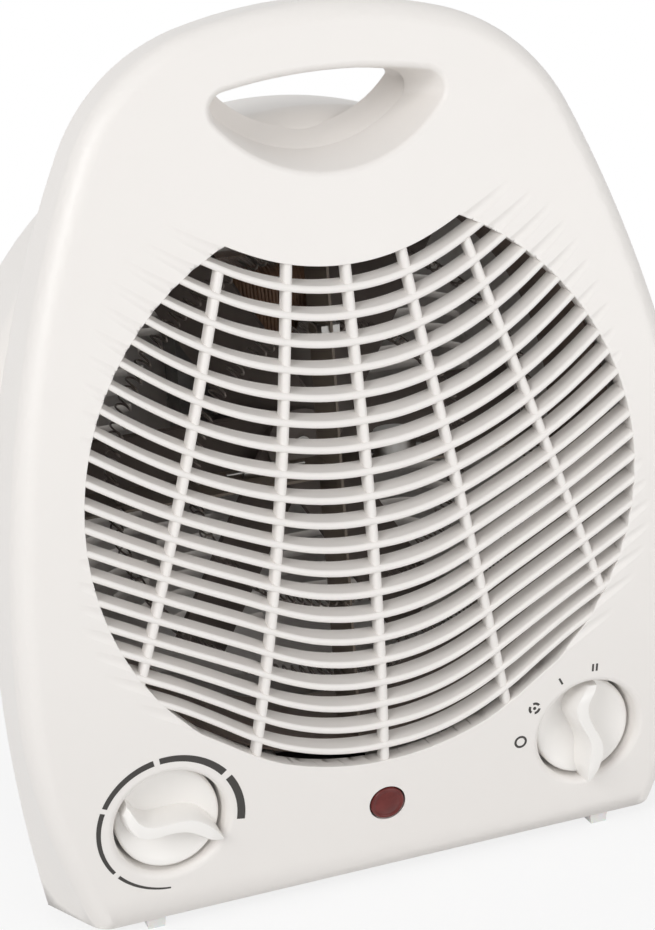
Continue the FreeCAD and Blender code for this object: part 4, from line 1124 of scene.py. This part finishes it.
def seen_rays(tree):
    """Mask of the camera, glossy and transmission rays, which see the ground plain white."""
    path = tree.nodes.new("ShaderNodeLightPath")
    seen = path.outputs["Is Camera Ray"]
    for label in ("Is Glossy Ray", "Is Transmission Ray"):
        either = tree.nodes.new("ShaderNodeMath")
        either.operation = "MAXIMUM"
        tree.links.new(seen, either.inputs[0])
        tree.links.new(path.outputs[label], either.inputs[1])
        seen = either.outputs[0]
    return seen


def blend_shaders(tree, share, first, second, end):
    """Shows a mix of two shaders at an output node."""
    join = tree.nodes.new("ShaderNodeMixShader")
    for socket, source in zip(join.inputs, (share, first.outputs[0], second.outputs[0])):
        tree.links.new(source, socket)
    tree.links.new(join.outputs[0], tree.nodes[end].inputs["Surface"])


def stage_paper():
    """Pale floor material that keeps the object's shadow near it and is plain white further out."""
    paper, tree, shader = start_finish("stage_paper")
    where = own_place(tree)
    fibre = noise(tree, where, 40.0, 2.0)
    tree.links.new(blend_colours(tree, fibre, (0.86, 0.86, 0.86, 1), (0.84, 0.84, 0.84, 1)),
                   shader.inputs["Base Color"])
    preset(shader, {"Roughness": 0.9})
    glow = tree.nodes.new("ShaderNodeEmission")
    preset(glow, {"Color": WHITE, "Strength": 1.0})
    length = tree.nodes.new("ShaderNodeVectorMath")
    length.operation = "LENGTH"
    tree.links.new(where, length.inputs[0])
    away = tree.nodes.new("ShaderNodeMapRange")
    preset(away, {"From Min": FLOOR_NEAR, "From Max": FLOOR_FAR, "To Min": FLOOR_SHARE, "To Max": 1.0})
    tree.links.new(length.outputs["Value"], away.inputs["Value"])
    share = tree.nodes.new("ShaderNodeMath")
    share.operation = "MULTIPLY"
    tree.links.new(seen_rays(tree), share.inputs[0])
    tree.links.new(away.outputs["Result"], share.inputs[1])
    blend_shaders(tree, share.outputs[0], shader, glow, "Material Output")
    return paper


def lay_floor(scene):
    """Wide level floor under the object."""
    skin = Skin()
    ends = (-FLOOR_REACH, FLOOR_REACH)
    skin.loft([[Vector((x, y, 0.0)) for y in ends] for x in ends], caps=False, closed=False)
    data = skin.mesh("stage_floor")
    floor = bpy.data.objects.new("stage_floor", data)
    scene.collection.objects.link(floor)
    data.materials.append(stage_paper())


def light_world(scene):
    """Soft light from all round, seen as plain white."""
    world = bpy.data.worlds.new("studio")
    scene.world = world
    world.use_nodes = True
    tree = world.node_tree
    ground = tree.nodes["Background"]
    preset(ground, {"Color": WHITE, "Strength": WORLD_STRENGTH})
    bright = tree.nodes.new("ShaderNodeBackground")
    preset(bright, {"Color": WHITE, "Strength": 1.0})
    blend_shaders(tree, seen_rays(tree), ground, bright, "World Output")


def hang_lamps(scene):
    """Square soft lamps turned to the object."""
    for name, place, size, power in LAMPS:
        lamp = bpy.data.lights.new(name, "AREA")
        lamp.shape = "SQUARE"
        lamp.size = size
        lamp.energy = power
        stand = bpy.data.objects.new(name, lamp)
        stand.location = place
        stand.rotation_mode = "QUATERNION"
        stand.rotation_quaternion = (Vector(LAMP_TARGET) - Vector(place)).to_track_quat("-Z", "Y")
        scene.collection.objects.link(stand)


def aim_camera(scene):
    """Camera above and to the left of the object, rolled a little."""
    lens = bpy.data.cameras.new("camera")
    lens.sensor_width = SENSOR
    lens.lens = LENS
    lens.clip_start = 0.01
    lens.clip_end = 50.0
    camera = bpy.data.objects.new("camera", lens)
    scene.collection.objects.link(camera)
    azimuth, elevation, roll = (math.radians(v) for v in CAMERA_TURN)
    back = Vector((math.sin(azimuth) * math.cos(elevation), -math.cos(azimuth) * math.cos(elevation),
                   math.sin(elevation)))
    right = (-back).cross(Vector((0, 0, 1))).normalized()
    up = right.cross(-back)
    tilted_right = right * math.cos(roll) + up * math.sin(roll)
    tilted_up = -right * math.sin(roll) + up * math.cos(roll)
    turn = Matrix((tilted_right, tilted_up, back)).transposed().to_4x4()
    camera.matrix_world = Matrix.Translation(at(*CAMERA_TARGET) + back * CAMERA_DISTANCE * MM) @ turn
    scene.camera = camera


class HEATER_OT_stage(bpy.types.Operator):
    """Pale floor and backdrop, soft lamps and the camera"""

    bl_idname = "heater.stage"
    bl_label = "Stage"

    def execute(self, context):
        scene = context.scene
        lay_floor(scene)
        light_world(scene)
        hang_lamps(scene)
        aim_camera(scene)
        scene.view_settings.view_transform = "Standard"
        return {"FINISHED"}


class HEATER_PT_panel(bpy.types.Panel):
    """Lists the steps that build the heater"""

    bl_idname = "HEATER_PT_panel"
    bl_label = "Fan heater"
    bl_space_type = "VIEW_3D"
    bl_region_type = "UI"
    bl_category = "Heater"

    def draw(self, context):
        layout = self.layout
        for settings in (context.scene.heater_sizes, context.scene.heater_look):
            for name in settings.__annotations__:
                layout.prop(settings, name)
        for step in STEPS:
            layout.operator(step.bl_idname)


STEPS = (HEATER_OT_stage, HEATER_OT_finishes, HEATER_OT_front_moulding, HEATER_OT_grille, HEATER_OT_knobs,
         HEATER_OT_lamp, HEATER_OT_dial_marks, HEATER_OT_element)
CLASSES = (HeaterLook, HeaterSizes) + STEPS + (HEATER_PT_panel,)


def register():
    """Makes the settings and steps known to Blender."""
    for made in CLASSES:
        bpy.utils.register_class(made)
    bpy.types.Scene.heater_look = bpy.props.PointerProperty(type=HeaterLook)
    bpy.types.Scene.heater_sizes = bpy.props.PointerProperty(type=HeaterSizes)


def unregister():
    """Takes the settings and steps away again."""
    del bpy.types.Scene.heater_look
    del bpy.types.Scene.heater_sizes
    for made in reversed(CLASSES):
        bpy.utils.unregister_class(made)


def main():
    """Builds the heater."""
    register()
    bpy.ops.heater.stage()
    bpy.ops.heater.finishes()
    bpy.ops.heater.front_moulding()
    bpy.ops.heater.grille()
    bpy.ops.heater.knobs()
    bpy.ops.heater.lamp()
    bpy.ops.heater.dial_marks()
    bpy.ops.heater.element()


if __name__ == "__main__":
    main()
